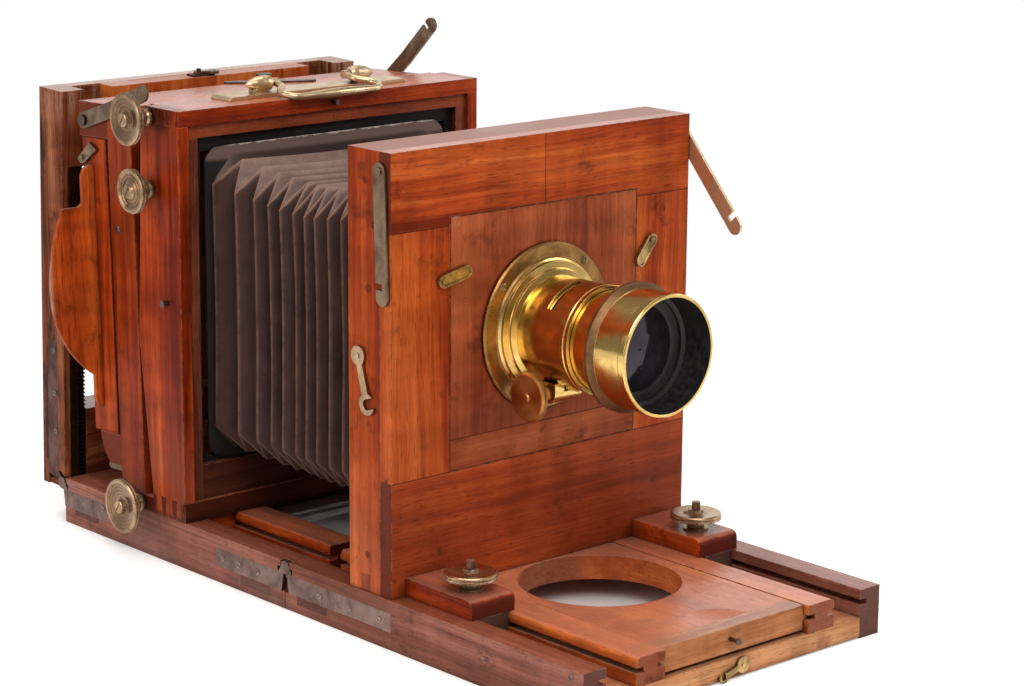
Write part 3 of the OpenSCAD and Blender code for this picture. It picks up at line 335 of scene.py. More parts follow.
TONES = {
    "case": Tone(
        (0.165, 0.016, 0.002), (0.366, 0.049, 0.006), (0.512, 0.09, 0.012), (0.659, 0.152, 0.027),
        (0.048, 0.008, 0.003), (0.165, 0.032, 0.014), (0.56, 0.2, 0.085), (0.62, 0.26, 0.15),
    ),
    "face": Tone(
        (0.14, 0.013, 0.002), (0.319, 0.041, 0.006), (0.443, 0.078, 0.013), (0.572, 0.13, 0.026),
        (0.055, 0.009, 0.003), (0.135, 0.026, 0.013), (0.56, 0.2, 0.085), (0.62, 0.26, 0.15),
    ),
    "board": Tone(
        (0.15, 0.028, 0.01), (0.275, 0.056, 0.019), (0.37, 0.085, 0.027), (0.46, 0.13, 0.045),
        (0.06, 0.014, 0.006), (0.12, 0.035, 0.018), (0.56, 0.22, 0.1), (0.6, 0.28, 0.17),
        streak=0.2,
    ),
    "box": Tone(
        (0.119, 0.011, 0.003), (0.31, 0.034, 0.005), (0.482, 0.074, 0.011), (0.66, 0.145, 0.026),
        (0.032, 0.006, 0.003), (0.12, 0.02, 0.01), (0.52, 0.18, 0.075), (0.66, 0.3, 0.2),
    ),
    "cheek": Tone(
        (0.085, 0.007, 0.002), (0.215, 0.022, 0.004), (0.33, 0.047, 0.007), (0.45, 0.09, 0.016),
        (0.03, 0.006, 0.003), (0.12, 0.02, 0.01), (0.5, 0.17, 0.07), (0.6, 0.28, 0.18),
    ),
    "trim": Tone(
        (0.045, 0.009, 0.005), (0.12, 0.026, 0.013), (0.21, 0.055, 0.027), (0.32, 0.095, 0.048),
        (0.02, 0.006, 0.004), (0.08, 0.022, 0.014), (0.4, 0.15, 0.08), (0.3, 0.13, 0.09),
    ),
    "rail": Tone(
        (0.105, 0.026, 0.012), (0.215, 0.062, 0.035), (0.31, 0.105, 0.066), (0.41, 0.17, 0.115),
        (0.045, 0.015, 0.01), (0.13, 0.048, 0.036), (0.54, 0.22, 0.11), (0.32, 0.08, 0.03),
        streak=0.60, shine=0.15,
    ),
    "panel": Tone(
        (0.26, 0.039, 0.008), (0.465, 0.088, 0.016), (0.6, 0.143, 0.029), (0.68, 0.21, 0.055),
        (0.08, 0.016, 0.006), (0.3, 0.1, 0.052), (0.62, 0.29, 0.15), (0.78, 0.37, 0.25),
    ),
    "cross": Tone(
        (0.31, 0.105, 0.038), (0.51, 0.205, 0.08), (0.62, 0.29, 0.13), (0.7, 0.39, 0.2),
        (0.14, 0.042, 0.017), (0.36, 0.15, 0.078), (0.68, 0.4, 0.23), (0.5, 0.2, 0.1),
    ),
    "tail": Tone(
        (0.04, 0.008, 0.003), (0.125, 0.026, 0.009), (0.23, 0.062, 0.022), (0.4, 0.155, 0.065),
        (0.016, 0.005, 0.003), (0.23, 0.09, 0.045), (0.48, 0.22, 0.1), (0.74, 0.52, 0.42),
        shine=0.05,
    ),
    "slide": Tone(
        (0.257, 0.035, 0.005), (0.425, 0.062, 0.009), (0.553, 0.103, 0.016), (0.675, 0.155, 0.03),
        (0.065, 0.011, 0.004), (0.24, 0.075, 0.045), (0.54, 0.26, 0.17), (0.54, 0.24, 0.14),
    ),
    "ebony": Tone(
        (0.008, 0.007, 0.008), (0.013, 0.012, 0.012), (0.022, 0.02, 0.02), (0.045, 0.041, 0.042),
        (0.003, 0.003, 0.003), (0.012, 0.01, 0.01), (0.09, 0.075, 0.068), (0.05, 0.042, 0.042),
    ),
    "inner": Tone(
        (0.06, 0.022, 0.015), (0.12, 0.05, 0.034), (0.19, 0.09, 0.064), (0.27, 0.14, 0.1),
        (0.03, 0.012, 0.009), (0.12, 0.06, 0.045), (0.34, 0.19, 0.13), (0.25, 0.13, 0.09),
    ),
    "strip": Tone(
        (0.12, 0.07, 0.035), (0.24, 0.155, 0.085), (0.36, 0.25, 0.15), (0.5, 0.37, 0.25),
        (0.06, 0.035, 0.02), (0.22, 0.14, 0.08), (0.52, 0.4, 0.28), (0.45, 0.34, 0.24),
    ),
}
# Grain of nodes whose boards don't run along their longest side
GRAIN = {
    "inner_frame": "X", "front_trim": "X", "front_face": "X", "lens_board": "X",
    "shutter": "Z", "plate_holder": "Z", "front_case": "Z",
}


def islands(mesh):
    """The polygons of each solid of a node, and the node's vertices."""
    co = np.zeros(len(mesh.vertices) * 3)
    mesh.vertices.foreach_get("co", co)
    co = co.reshape(-1, 3)
    # Vertices nearer than 0.05 mm are one
    _, weld = np.unique(np.round(co * 20000).astype(int), axis=0, return_inverse=True)
    weld = weld.ravel()
    parent = list(range(int(weld.max()) + 1))

    def root(i):
        while parent[i] != i:
            parent[i] = parent[parent[i]]
            i = parent[i]
        return i

    for polygon in mesh.polygons:
        first = root(weld[polygon.vertices[0]])
        for v in polygon.vertices[1:]:
            parent[root(weld[v])] = first
    members = {}
    for polygon in mesh.polygons:
        members.setdefault(root(weld[polygon.vertices[0]]), []).append(polygon)
    return members.values(), co


def paint_timber(name, tone, marks):
    """Gives each board of a node its own grain direction and its own cut."""
    node = nodes[name]
    boards, co = islands(node.data)
    node.data.materials.clear()
    made = {}
    boards = sorted(boards, key=lambda board: tuple(np.round(co[board[0].vertices[0]], 4)))
    for i, board in enumerate(boards):
        points = co[sorted({v for polygon in board for v in polygon.vertices})]
        longest = "XYZ"[int(np.argmax(points.max(0) - points.min(0)))]
        axis = GRAIN.get(name, longest)
        key = (axis, i % 3)
        if key not in made:
            seed = (sum(map(ord, name)) % 17) * 0.37 + i * 0.61
            made[key] = len(node.data.materials)
            node.data.materials.append(wood(f"{name}_{axis}{i % 3}", axis, tone, seed, marks))
        for polygon in board:
            polygon.material_index = made[key]


def turn_grain(s, zone, axis):
    """Lays the grain the other way in one zone of a piece."""
    colour, pores, threads, ends = fibres(s, axis, (s.shift[0] + 4, *s.shift[1:]))
    s.colour = s.mix(zone, s.colour, colour)
    s.pores = s.blend(zone, s.pores, pores)
    s.threads = s.blend(zone, s.threads, threads)
    s.ends = s.blend(zone, s.ends, ends)


def joint_lines(s, name, *places):
    for place in places:
        gap = s.math("ABSOLUTE", s.math("SUBTRACT", s.here(name), place))
        s.tint(JOINT, s.band(gap, 0.0002, 0.0005, 1.0, 0.0), 0.85)


def face_marks(s):
    """Stiles stand between the head and the foot of the front."""
    turn_grain(s, s.inside(z=(FOOT_TOP, HEAD_LOW), soft=0.0002), "Z")
    foot = s.inside(z=(None, FOOT_TOP))
    cloud = s.band(s.noise(s.stretch((7, 7, 10)), detail=4), 0.35, 0.62)
    s.tint((0.11, 0.012, 0.003), foot, cloud, 0.5)
    s.tint((0.46, 0.095, 0.035), foot, 0.22)
    joint_lines(s, "Z", FOOT_TOP, HEAD_LOW)
    spline = s.inside((None, LEFT_X), (-0.1132, -0.1105), (0.106, 0.1185), 0.0003)
    s.tint((0.03, 0.008, 0.004), spline, 0.8)
    crack = s.inside(x=(-0.0014, -0.0007), z=(0.2915, None), soft=0.0002)
    s.tint((0.015, 0.004, 0.002), crack, 0.8)


def board_marks(s):
    """A strip is clamped across the bottom of the lens board."""
    turn_grain(s, s.inside(z=(CLAMP_TOP, None), soft=0.0002), "Z")
    joint_lines(s, "Z", CLAMP_TOP)
    inner = s.inside(x=(-0.0861, 0.0861), z=(0.1162, 0.2911), soft=0.0005)
    s.tint(JOINT, s.math("SUBTRACT", 1.0, inner), 0.9)
    chips = s.band(s.noise(s.place, 240, 4, 0.7), 0.46, 0.62)
    s.tint((0.52, 0.24, 0.12), s.near((-0.0868, -0.1175, 0.2915), 0.012), chips, 0.6)


def case_marks(s):
    """Filled holes and dovetails in the left side of the front, and a painted reflection low on that side."""
    side = s.inside(x=(None, LEFT_X))
    # Painted reflection: the left side paler and pinker towards the bottom
    s.tint((0.44, 0.15, 0.075), side, s.band(s.here("Z"), 0.15, 0.06), 0.3)
    holes = (
        (-0.0907, 0.319, 0.003), (-0.0994, 0.2901, 0.0034), (-0.0939, 0.2464, 0.004),
        (-0.112, 0.1642, 0.0012), (-0.112, 0.044, 0.0016), (-0.092, 0.061, 0.003),
    )
    for y, z, radius in holes:
        s.tint(PEG, s.near((-0.138, y, z), radius), 0.8)
    for y, z in (((-0.0915, -0.083), (0.319, 0.331)), ((-0.0945, -0.085), (0.035, 0.047))):
        s.tint((0.09, 0.02, 0.01), s.inside((None, LEFT_X), y, z, 0.0004), 0.55)


def rail_marks(s):
    """Tenons of the cross rails come through the sides of the base."""
    tenons = (
        ((0.016, 0.051), (0.005, 0.012)), ((-0.049, -0.015), (0.006, 0.013)),
        ((0.233, 0.265), (0.008, 0.015)), ((-0.308, -0.274), (0.003, 0.012)),
    )
    for y, z in tenons:
        speck = s.band(s.noise(s.place, 500, 3), 0.35, 0.6, 0.6, 0.95)
        s.tint((0.055, 0.017, 0.012), s.inside(y=y, z=z, soft=0.0003), speck)
    rust = s.band(s.noise(s.place, 300, 3), 0.4, 0.6)
    s.tint((0.08, 0.03, 0.02), s.near((-0.14, -0.2154, 0.0193), 0.012), rust, 0.5)
    # Painted reflection: the rails paler and pinker in patches towards the bottom
    low_reflection = s.band(s.noise(s.stretch((9, 5, 20)), detail=4), 0.46, 0.62)
    s.tint((0.28, 0.14, 0.12), low_reflection, s.band(s.here("Z"), 0.033, 0.012, 0.2, 1.0), 0.45)


def tail_marks(s):
    """The posts of the tailboard are stained in patches and rubbed bare above."""
    s.tint((0.02, 0.008, 0.006), s.inside(y=(0.298, 0.303), z=(0.046, 0.08), soft=0.0003), 0.85)
    patch = s.noise(s.stretch((26, 26, 9)), detail=5, rough=0.7)
    s.tint((0.24, 0.07, 0.028), s.band(patch, 0.58, 0.68), 0.6)
    s.tint((0.018, 0.007, 0.005), s.band(patch, 0.45, 0.36), 0.8)
    streak = s.band(s.noise(s.stretch((240, 240, 12)), detail=3), 0.4, 0.6)
    s.tint((0.4, 0.21, 0.13), s.band(s.here("Z"), 0.3, 0.336), streak, 0.6)


def box_marks(s):
    """A painted shadow at a top corner, a painted reflection low down, and a darker sole and bottom edge."""
    # Painted shadow at the top rear corner of the left side
    s.tint((0.03, 0.008, 0.004), s.near((-0.141, 0.14, 0.338), 0.02), 0.75)
    # Painted reflection: the box paler and pinker towards the bottom
    s.tint((0.33, 0.095, 0.05), s.band(s.here("Z"), 0.13, 0.06), 0.3)
    # The sole darker along its front, and the bottom edge darker
    sole = s.band(s.here("Z"), 0.0508, 0.0488)
    s.tint((0.02, 0.008, 0.005), sole, s.band(s.here("Y"), 0.125, 0.119), 0.85)
    s.tint((0.03, 0.01, 0.006), s.band(s.here("Z"), 0.04, 0.0365), 0.6)
    s.tint(PEG, s.near((-0.141, 0.1355, 0.1973), 0.003), 0.8)


def trim_marks(s):
    """The trim's uprights, and its top strip, which is stained like the box."""
    turn_grain(s, s.math("GREATER_THAN", s.math("ABSOLUTE", s.here("X")), 0.1222), "Z")
    s.tint((0.33, 0.06, 0.018), s.band(s.here("Z"), 0.318, 0.319), 0.6)
    s.tint((0.05, 0.016, 0.01), s.band(s.here("Z"), 0.12, 0.07), 0.55)


def slide_marks(s):
    """A painted highlight along the rounded left edge, and dark streaks up the face."""
    # Painted highlight: the left edge tinted pale
    s.tint((0.5, 0.24, 0.17), s.inside(x=(None, -0.1785), soft=0.0012), 0.75)
    streak = s.band(s.noise(s.stretch((300, 300, 5)), detail=3), 0.56, 0.66)
    s.tint((0.075, 0.012, 0.004), streak, 0.55)


def strip_marks(s):
    s.tint((0.36, 0.26, 0.17), s.band(s.noise(s.stretch((60, 60, 60)), detail=4), 0.42, 0.6), 0.5)


def panel_marks(s):
    """A painted pink sheen in patches on the centre panel."""
    # Painted sheen: pink patches
    s.tint((0.48, 0.16, 0.07), s.band(s.noise(s.stretch((12, 6, 12)), detail=4), 0.44, 0.6), 0.25)


# The record's slot of finish, the tone, the marks, and the nodes that have them
TIMBER = (
    ("wood_rail", "rail", rail_marks, "front_rails", "mid_rails", "rear_board"),
    ("wood_rail", "panel", None, "front_runners"),
    ("wood_rail", "panel", panel_marks, "centre_panel"),
    ("wood_rail", "box", None, "mid_runners"),
    ("wood_rail", "cross", None, "cross_rails"),
    ("wood_pale", "cross", None, "panel_end"),
    ("wood_pale", "panel", None, "tail_boards"),
    ("wood_case", "tail", tail_marks, "tail_rails", "tail_cross"),
    ("wood_case", "box", box_marks, "box_sides", "box_boards"),
    ("wood_case", "box", None, "carriage_blocks", "feet"),
    ("wood_case", "cheek", None, "swing_cheeks"),
    ("wood_case", "case", None, "swing_rails"),
    ("wood_case", "case", case_marks, "front_case"),
    ("wood_case", "slide", slide_marks, "shutter"),
    ("wood_case", "face", face_marks, "front_face"),
    ("wood_case", "board", board_marks, "lens_board"),
    ("wood_dark", "ebony", None, "inner_frame"),
    ("wood_dark", "trim", trim_marks, "front_trim"),
    ("wood_dark", "box", None, "plate_holder"),
    ("wood_strip", "strip", strip_marks, "drip_strip"),
    ("wood_inner", "inner", None, "front_guides"),
)


# Metal and paint


def scaled(colour, factor):
    return tuple(min(1, c * factor) for c in colour)


def metal(name, light, dark, rough, tarnish, spots=0.5, turned=None, teeth=0, dish=None, smooth=False):
    """Lacquered or tarnished brass. turned is a node and the axis that it was
    turned about, teeth counts the milling of its rim, and dish has the radii
    between which its face is dulled and scored by fingers."""
    s = Look(name)
    patch = s.noise(s.place, 38, 5, 0.65, 0.6)
    s.colour = s.mix(s.band(patch, 0.36, 0.66, 0, tarnish), light, dark)
    stain = s.noise(s.place, 110, 4, 0.7)
    s.tint(dark, s.band(stain, 0.5, 0.68, 0, (0.25 if smooth else 0.6) * tarnish))
    fleck = s.noise(s.place, 420, 4, 0.7)
    s.tint(scaled(dark, 0.35), s.band(fleck, 0.6, 0.72, 0, spots))
    soft, edge = s.corners(0.0005)
    # Painted highlight: every edge tinted paler
    s.tint(scaled(light, 1.25), s.band(edge, 0.03, 0.3), 0.6)
    s.normal = s.bump(s.noise(s.place, 900, 2), 0.00006, 0.5, soft)
    brushed = {}
    if turned:
        t = turning(s, *turned)
        tool = s.plus(s.times(t.reach, 5200.0), s.times(t.along, 5200.0))
        lines = s.noise(s.add("CombineXYZ", {"X": tool}), 1.0, 3, 0.8)
        s.normal = s.bump(lines, 0.00004, 0.2 if smooth else 0.55, s.normal)
        brushed = {"Anisotropic": 0.75 if smooth else 0.55, "Tangent": t.tangent}
    if dish:
        score_face(s, t, dark, *dish)
    if teeth:
        mill_rim(s, t, dark, teeth)
    # Painted shade: hollows darkened by ambient occlusion
    s.tint(scaled(dark, 0.1), s.band(s.crevice(0.004), 0.3, 0.85), settings().shade_depth)
    rough = s.band(patch, 0.3, 0.7, rough - 0.06, rough + 0.12)
    return s.finish(Metallic=1.0, Roughness=rough, Normal=s.normal, **brushed)


def turning(s, node, axis):
    """Where a point is on a piece turned about an axis through its middle."""
    middle = dict(zip("XYZ", centre(node)))
    first, second = (name for name in "XYZ" if name != axis)
    u = s.math("SUBTRACT", s.here(first), middle[first])
    v = s.math("SUBTRACT", s.here(second), middle[second])
    round_way = s.add("CombineXYZ", {first: s.times(v, -1.0), second: u})
    return SimpleNamespace(
        u=u,
        v=v,
        reach=s.math("SQRT", s.plus(s.times(u, u), s.times(v, v))),
        along=s.here(axis),
        across=s.across(axis),
        tangent=s.vector("NORMALIZE", round_way),
    )


def score_face(s, t, dark, inner, outer):
    """Grooves on a dulled face, and the slot in the end of its spindle."""
    flat = s.band(t.across, 0.6, 0.9)
    rim = s.band(t.reach, outer - 0.0012, outer, 1.0, 0.0)
    face = s.times(flat, rim, s.band(t.reach, inner, inner + 0.0006))
    s.tint(dark, face, 0.62)
    ring = s.math("PINGPONG", s.times(t.reach, 380.0), 0.5)
    groove = s.times(s.band(ring, 0.4, 0.5), face)
    s.tint(scaled(dark, 0.3), groove, 0.6)
    s.normal = s.bump(groove, 0.0005, 0.8, s.normal)
    gap = s.math("ABSOLUTE", s.plus(s.times(t.u, 0.8), s.times(t.v, 0.6)))
    slot = s.times(s.band(gap, 0.0004, 0.0006, 1.0, 0.0), flat)
    s.tint((0.012, 0.008, 0.006), slot, s.band(t.reach, 0.0039, 0.0042, 1.0, 0.0), 0.9)


def mill_rim(s, t, dark, teeth):
    """Straight and slanted cuts round a rim."""
    turns = s.times(s.math("ARCTAN2", t.u, t.v), teeth / (2 * math.pi))
    lift = s.times(t.along, 900.0)
    cut = s.math("PINGPONG", turns, 0.5)
    for slant in (s.plus(turns, lift), s.math("SUBTRACT", turns, lift)):
        cut = s.math("MINIMUM", cut, s.math("PINGPONG", slant, 0.5))
    rim = s.math("SUBTRACT", 1.0, s.band(t.across, 0.2, 0.5))
    cut = s.times(cut, rim)
    s.tint(scaled(dark, 0.3), s.band(cut, 0.14, 0.02), rim, 0.5)
    s.normal = s.bump(cut, 0.0012, 1.0, s.normal)


def black_paint():
    s = Look("lens_black")
    dust = s.noise(s.place, 260, 4, 0.7)
    s.colour = s.mix(s.band(dust, 0.4, 0.75), (0.008, 0.007, 0.007), (0.03, 0.026, 0.025))
    s.tint((0.06, 0.045, 0.035), s.band(s.noise(s.place, 60, 4, 0.6), 0.6, 0.75), 0.35)
    return s.finish(Roughness=s.band(dust, 0.3, 0.7, 0.42, 0.62), Normal=s.bump(dust, 0.00012, 0.5))


def glass():
    s = Look("lens_glass_look")
    smear = s.noise(s.place, 60, 4, 0.6)
    s.colour = s.ramp(smear, (0.3, (0.012, 0.01, 0.013)), (0.7, (0.03, 0.024, 0.028)))
    return s.finish(
        Roughness=s.band(smear, 0.35, 0.7, 0.02, 0.09),
        Specular_IOR_Level=0.45,
        Specular_Tint=(0.85, 0.8, 1.0),
        Normal=s.bump(smear, 0.000004, 0.1),
    )


# Meshes


def place(name, mesh, material):
    obj = bpy.data.objects.new(name, mesh)
    bpy.context.scene.collection.objects.link(obj)
    mesh.materials.append(material)
    return obj


def piece(name, verts, faces, material):
    mesh = bpy.data.meshes.new(name)
    mesh.from_pydata(verts, [], faces)
    mesh.validate()
    mesh.update()
    mesh.shade_smooth()
    return place(name, mesh, material)


def facing_frame(normal, turn=0.0):
    n = Vector(normal).normalized()
    u = Matrix.Rotation(turn, 3, n) @ n.orthogonal().normalized()
    return u, n.cross(u), n


def disc(bm, at, normal, r, low, high, steps=20):
    """A flat boss between two heights over a point."""
    u, v, n = facing_frame(normal)
    rings = []
    for height in (low, high):
        turns = [2 * math.pi * k / steps for k in range(steps)]
        rings.append([bm.verts.new(at + (u * math.cos(a) + v * math.sin(a)) * r + n * height) for a in turns])
    foot, rim = rings
    middle = bm.verts.new(at + n * high)
    for k in range(steps):
        bm.faces.new([foot[k - 1], foot[k], rim[k], rim[k - 1]])
        bm.faces.new([rim[k - 1], rim[k], middle])


def slotted_screw(bm, at, normal, r, turn):
    """A domed screw head in two halves, with the slot between them."""
    u, v, n = facing_frame(normal, turn)
    at = Vector(at)
    half_slot = 0.13 * r
    disc(bm, at, normal, r, -0.1 * r, 0.03 * r)
    for side in (1, -1):
        levels = []
        for radius, height in ((r, 0.02 * r), (r, 0.12 * r), (0.72 * r, 0.25 * r), (0.35 * r, 0.31 * r)):
            start = math.asin(min(1, half_slot / radius))
            level = []
            for k in range(11):
                a = start + (math.pi - 2 * start) * k / 10
                out = at + u * radius * math.cos(a) + v * side * radius * math.sin(a)
                level.append(bm.verts.new(out + n * height))
            levels.append(level)
        for low, high in zip(levels, levels[1:]):
            for k in range(10):
                bm.faces.new([low[k], low[k + 1], high[k + 1], high[k]])
        bm.faces.new(levels[-1])
        bm.faces.new([level[0] for level in levels] + [level[-1] for level in reversed(levels)])


def tilted(y, z):
    """A point of the upright swing back, leaned back with it."""
    a = math.radians(LEAN)
    dy, dz = y - PIVOT[0], z - PIVOT[1]
    return PIVOT[0] + dy * math.cos(a) - dz * math.sin(a), PIVOT[1] + dy * math.sin(a) + dz * math.cos(a)


# Bellows, in millimetres

REAR_RIDGES = [(116, 284.5), (89, 281.5), (67, 280), (50, 278.5), (36, 277)]
FRONT_RIDGES = [(21, 276.5), (9, 276), (-3, 276.5), (-17, 278), (-32, 280), (-46, 281.5), (-59, 282.5)]
# Where the two halves meet, and the top of that ring
MIDDLE_Y = 26.75
MIDDLE_TOP = 296.5
# How far the top of a ring stands over the top corner of its side
CORNER = 19.5
# Points on each side of a ring, and on the whole ring
SIDE = 6
RING = 4 * SIDE


def cloth_material():
    s = Look("bellows_cloth")
    patch = s.noise(s.place, 30, 5, 0.65)
    s.colour = s.ramp(
        patch,
        (0.32, (0.018, 0.0066, 0.0048)), (0.52, (0.036, 0.014, 0.0104)), (0.72, (0.06, 0.026, 0.02)),
    )
    streak = s.noise(s.stretch((14, 240, 14)), detail=4)
    s.tint((0.05, 0.027, 0.022), s.band(streak, 0.5, 0.75, 0, 0.5))
    ridge = s.add("Attribute", output="Fac", attribute_name="ridge")
    broken = s.band(s.noise(s.place, 90, 4, 0.7), 0.3, 0.62, 0.25, 1.0)
    # Painted highlight along the ridges, broken in places, and painted light on the folds next to them
    s.tint((0.165, 0.085, 0.058), s.band(ridge, 0.86, 0.97), broken, 0.8)
    s.tint((0.075, 0.042, 0.034), s.band(ridge, 0.35, 0.95), broken, 0.28)
    # Painted shade in the valleys of the folds
    s.tint((0.009, 0.0045, 0.0035), s.band(ridge, 0.5, 0.02, 0, 0.6))
    tip = s.add("Attribute", output="Fac", attribute_name="tip")
    s.tint((0.36, 0.15, 0.065), s.band(tip, 0.955, 0.995), s.band(ridge, 0.9, 0.98))
    settled = s.band(s.noise(s.place, 55, 5, 0.7), 0.25, 0.7, 0.5, 1.0)
    # Dust and painted sheen on faces that look up
    s.tint(settings().dust_and_sheen_colour, s.band(s.axis(s.facing, "Z"), 0.2, 0.9), settled, settings().dust)
    # The hem is glued down in the box: black below, brown above, and frayed
    hem = s.band(s.here("Y"), 0.1185, 0.12)
    s.tint((0.012, 0.009, 0.009), hem)
    above = s.times(hem, s.band(s.here("Z"), 0.299, 0.303))
    s.tint((0.125, 0.078, 0.064), above)
    ragged = s.plus(s.here("Z"), s.times(s.noise(s.place, 90, 5, 0.8), 0.006))
    fray = s.times(above, s.band(ragged, 0.3128, 0.3133), s.band(s.here("X"), -0.1, -0.08))
    s.tint((0.55, 0.47, 0.42), fray, 0.85)
    weave = [s.noise(s.stretch(scale), detail=2) for scale in ((2600, 300, 2600), (300, 2600, 900))]
    wrinkle = s.noise(s.stretch((40, 260, 40)), detail=4, rough=0.6)
    return s.finish(
        Roughness=s.band(patch, 0.3, 0.7, 0.62, 0.8),
        Sheen_Weight=0.05,
        Sheen_Roughness=0.45,
        Sheen_Tint=(0.62, 0.5, 0.46),
        Specular_IOR_Level=0.2,
        Normal=s.bump(s.plus(*weave), 0.00012, 0.5, s.bump(wrinkle, 0.0012, 0.35)),
    )


def square_ring(y, x, end, low, high, bottom, top, pull=0, sags=(0, 0), stray=lambda: 0):
    """Points up the right side, over the top, down the left side and back
    along the bottom. The sides run at x from low to high, and the top and
    bottom run to end either way. pull bows the sides and sags the rest."""
    runs = (
        ((x, low), (x, high), pull, 0),
        ((end, top), (-end, top), 0, sags[0]),
        ((-x, high), (-x, low), pull, 0),
        ((-end, bottom), (end, bottom), 0, sags[1]),
    )
    ring = []
    for (x0, z0), (x1, z1), bow, sag in runs:
        for k in range(SIDE):
            f = k / (SIDE - 1)
            bend = math.sin(math.pi * f)
            ring.append((x0 + (x1 - x0) * f, y + stray() - bow * bend, z0 + (z1 - z0) * f - sag * bend))
    return ring


def fold_ring(y, out, top, rng):
    """One ring of the folds. out is 1 where the sides stand out and the top
    is in, and 0 where the top stands out and the sides are in."""
    bottom = 84 + 2 * y / 120
    return square_ring(
        y, 112 - 10.5 * (1 - out), 95 + 2 * out, bottom + 19, top - CORNER, bottom + 8.5 * out,
        top - 9.5 * out, 2 * out, (3, 2.5), lambda: rng.uniform(-0.5, 0.5),
    )


def flange_ring(y, x, top, bottom, cut):
    """A plain ring with cut corners, which joins the folds to their frame."""
    return square_ring(y, x, x - cut, bottom + cut, top - cut, bottom, top)


def folds(ridges):
    """(y, out, top) of the ridges of the sides, with those of the top half way between."""
    found = []
    for i, (y, side_top) in enumerate(ridges):
        if i:
            y_before, top_before = ridges[i - 1]
            found.append(((y_before + y) / 2, 0, (top_before + side_top) / 2 + CORNER))
        found.append((y, 1, side_top + CORNER))
    return found


def sleeve(name, stations, material, before=(), after=()):
    """Half of the bellows: flange rings before or after the folds' stations."""
    rng = random.Random(name)
    rings = [flange_ring(*values) for values in before]
    ridge = [0] * RING * len(before)
    tip = list(ridge)
    for y, out, top in stations:
        rings.append(fold_ring(y, out, top, rng))
        ridge += [int(k // SIDE % 2 != out) for k in range(RING)]
        tip += [int(k in ((5, 12) if out else (6, 11))) for k in range(RING)]
    rings += [flange_ring(*values) for values in after]
    ridge += [0] * RING * len(after)
    tip += [0] * RING * len(after)
    faces = []
    for i in range(len(rings) - 1):
        outward = ridge[i * RING] == 1
        for k in range(RING):
            j = (k + 1) % RING
            a, b, c, d = i * RING + k, i * RING + j, (i + 1) * RING + j, (i + 1) * RING + k
            if k % SIDE != SIDE - 1:
                faces.append((a, d, c, b))
            elif (k // SIDE % 2 == 0) == outward:
                faces += [(a, d, c), (a, c, b)]
            else:
                faces += [(a, d, b), (b, d, c)]
    verts = [(x * MM, y * MM, z * MM) for ring in rings for x, y, z in ring]
    obj = piece(name, verts, faces, material)
    mesh = obj.data
    for key, values in (("ridge", ridge), ("tip", tip)):
        mesh.attributes.new(key, "FLOAT", "POINT").data.foreach_set("value", [float(v) for v in values])
    crease = mesh.attributes.new("crease_edge", "FLOAT", "EDGE")
    for edge in mesh.edges:
        a, b = edge.vertices
        if a // RING == b // RING:
            sharp = 1.0 if ridge[a] and ridge[b] else 0.72
        elif a % RING != b % RING:
            sharp = 0.80
        else:
            sharp = 0.45 if a % SIDE in (0, SIDE - 1) else 0.0
        crease.data[edge.index].value = sharp
    smooth = obj.modifiers.new("Folds", "SUBSURF")
    smooth.levels = smooth.render_levels = 2
    solid = obj.modifiers.new("Cloth", "SOLIDIFY")
    solid.thickness = settings().cloth
    solid.offset = -1
    done = bpy.data.meshes.new_from_object(obj.evaluated_get(bpy.context.evaluated_depsgraph_get()))
    obj.modifiers.clear()
    obj.data = done
    return obj


# Operators


# The photograph's camera. Its focal length is in pixels of a frame of that width.
PHOTO_WIDTH = 1024
FOCAL_LENGTH = 2849.2
SENSOR = 36
EYE = Vector((-1.3029, -1.535, 0.6444))
AIM = Vector((0.07475, 0, 0.1602))
ROLL = math.radians(0.447)
# What is seen straight, in metal and through glass
SEEN = ("Camera", "Glossy", "Transmission")


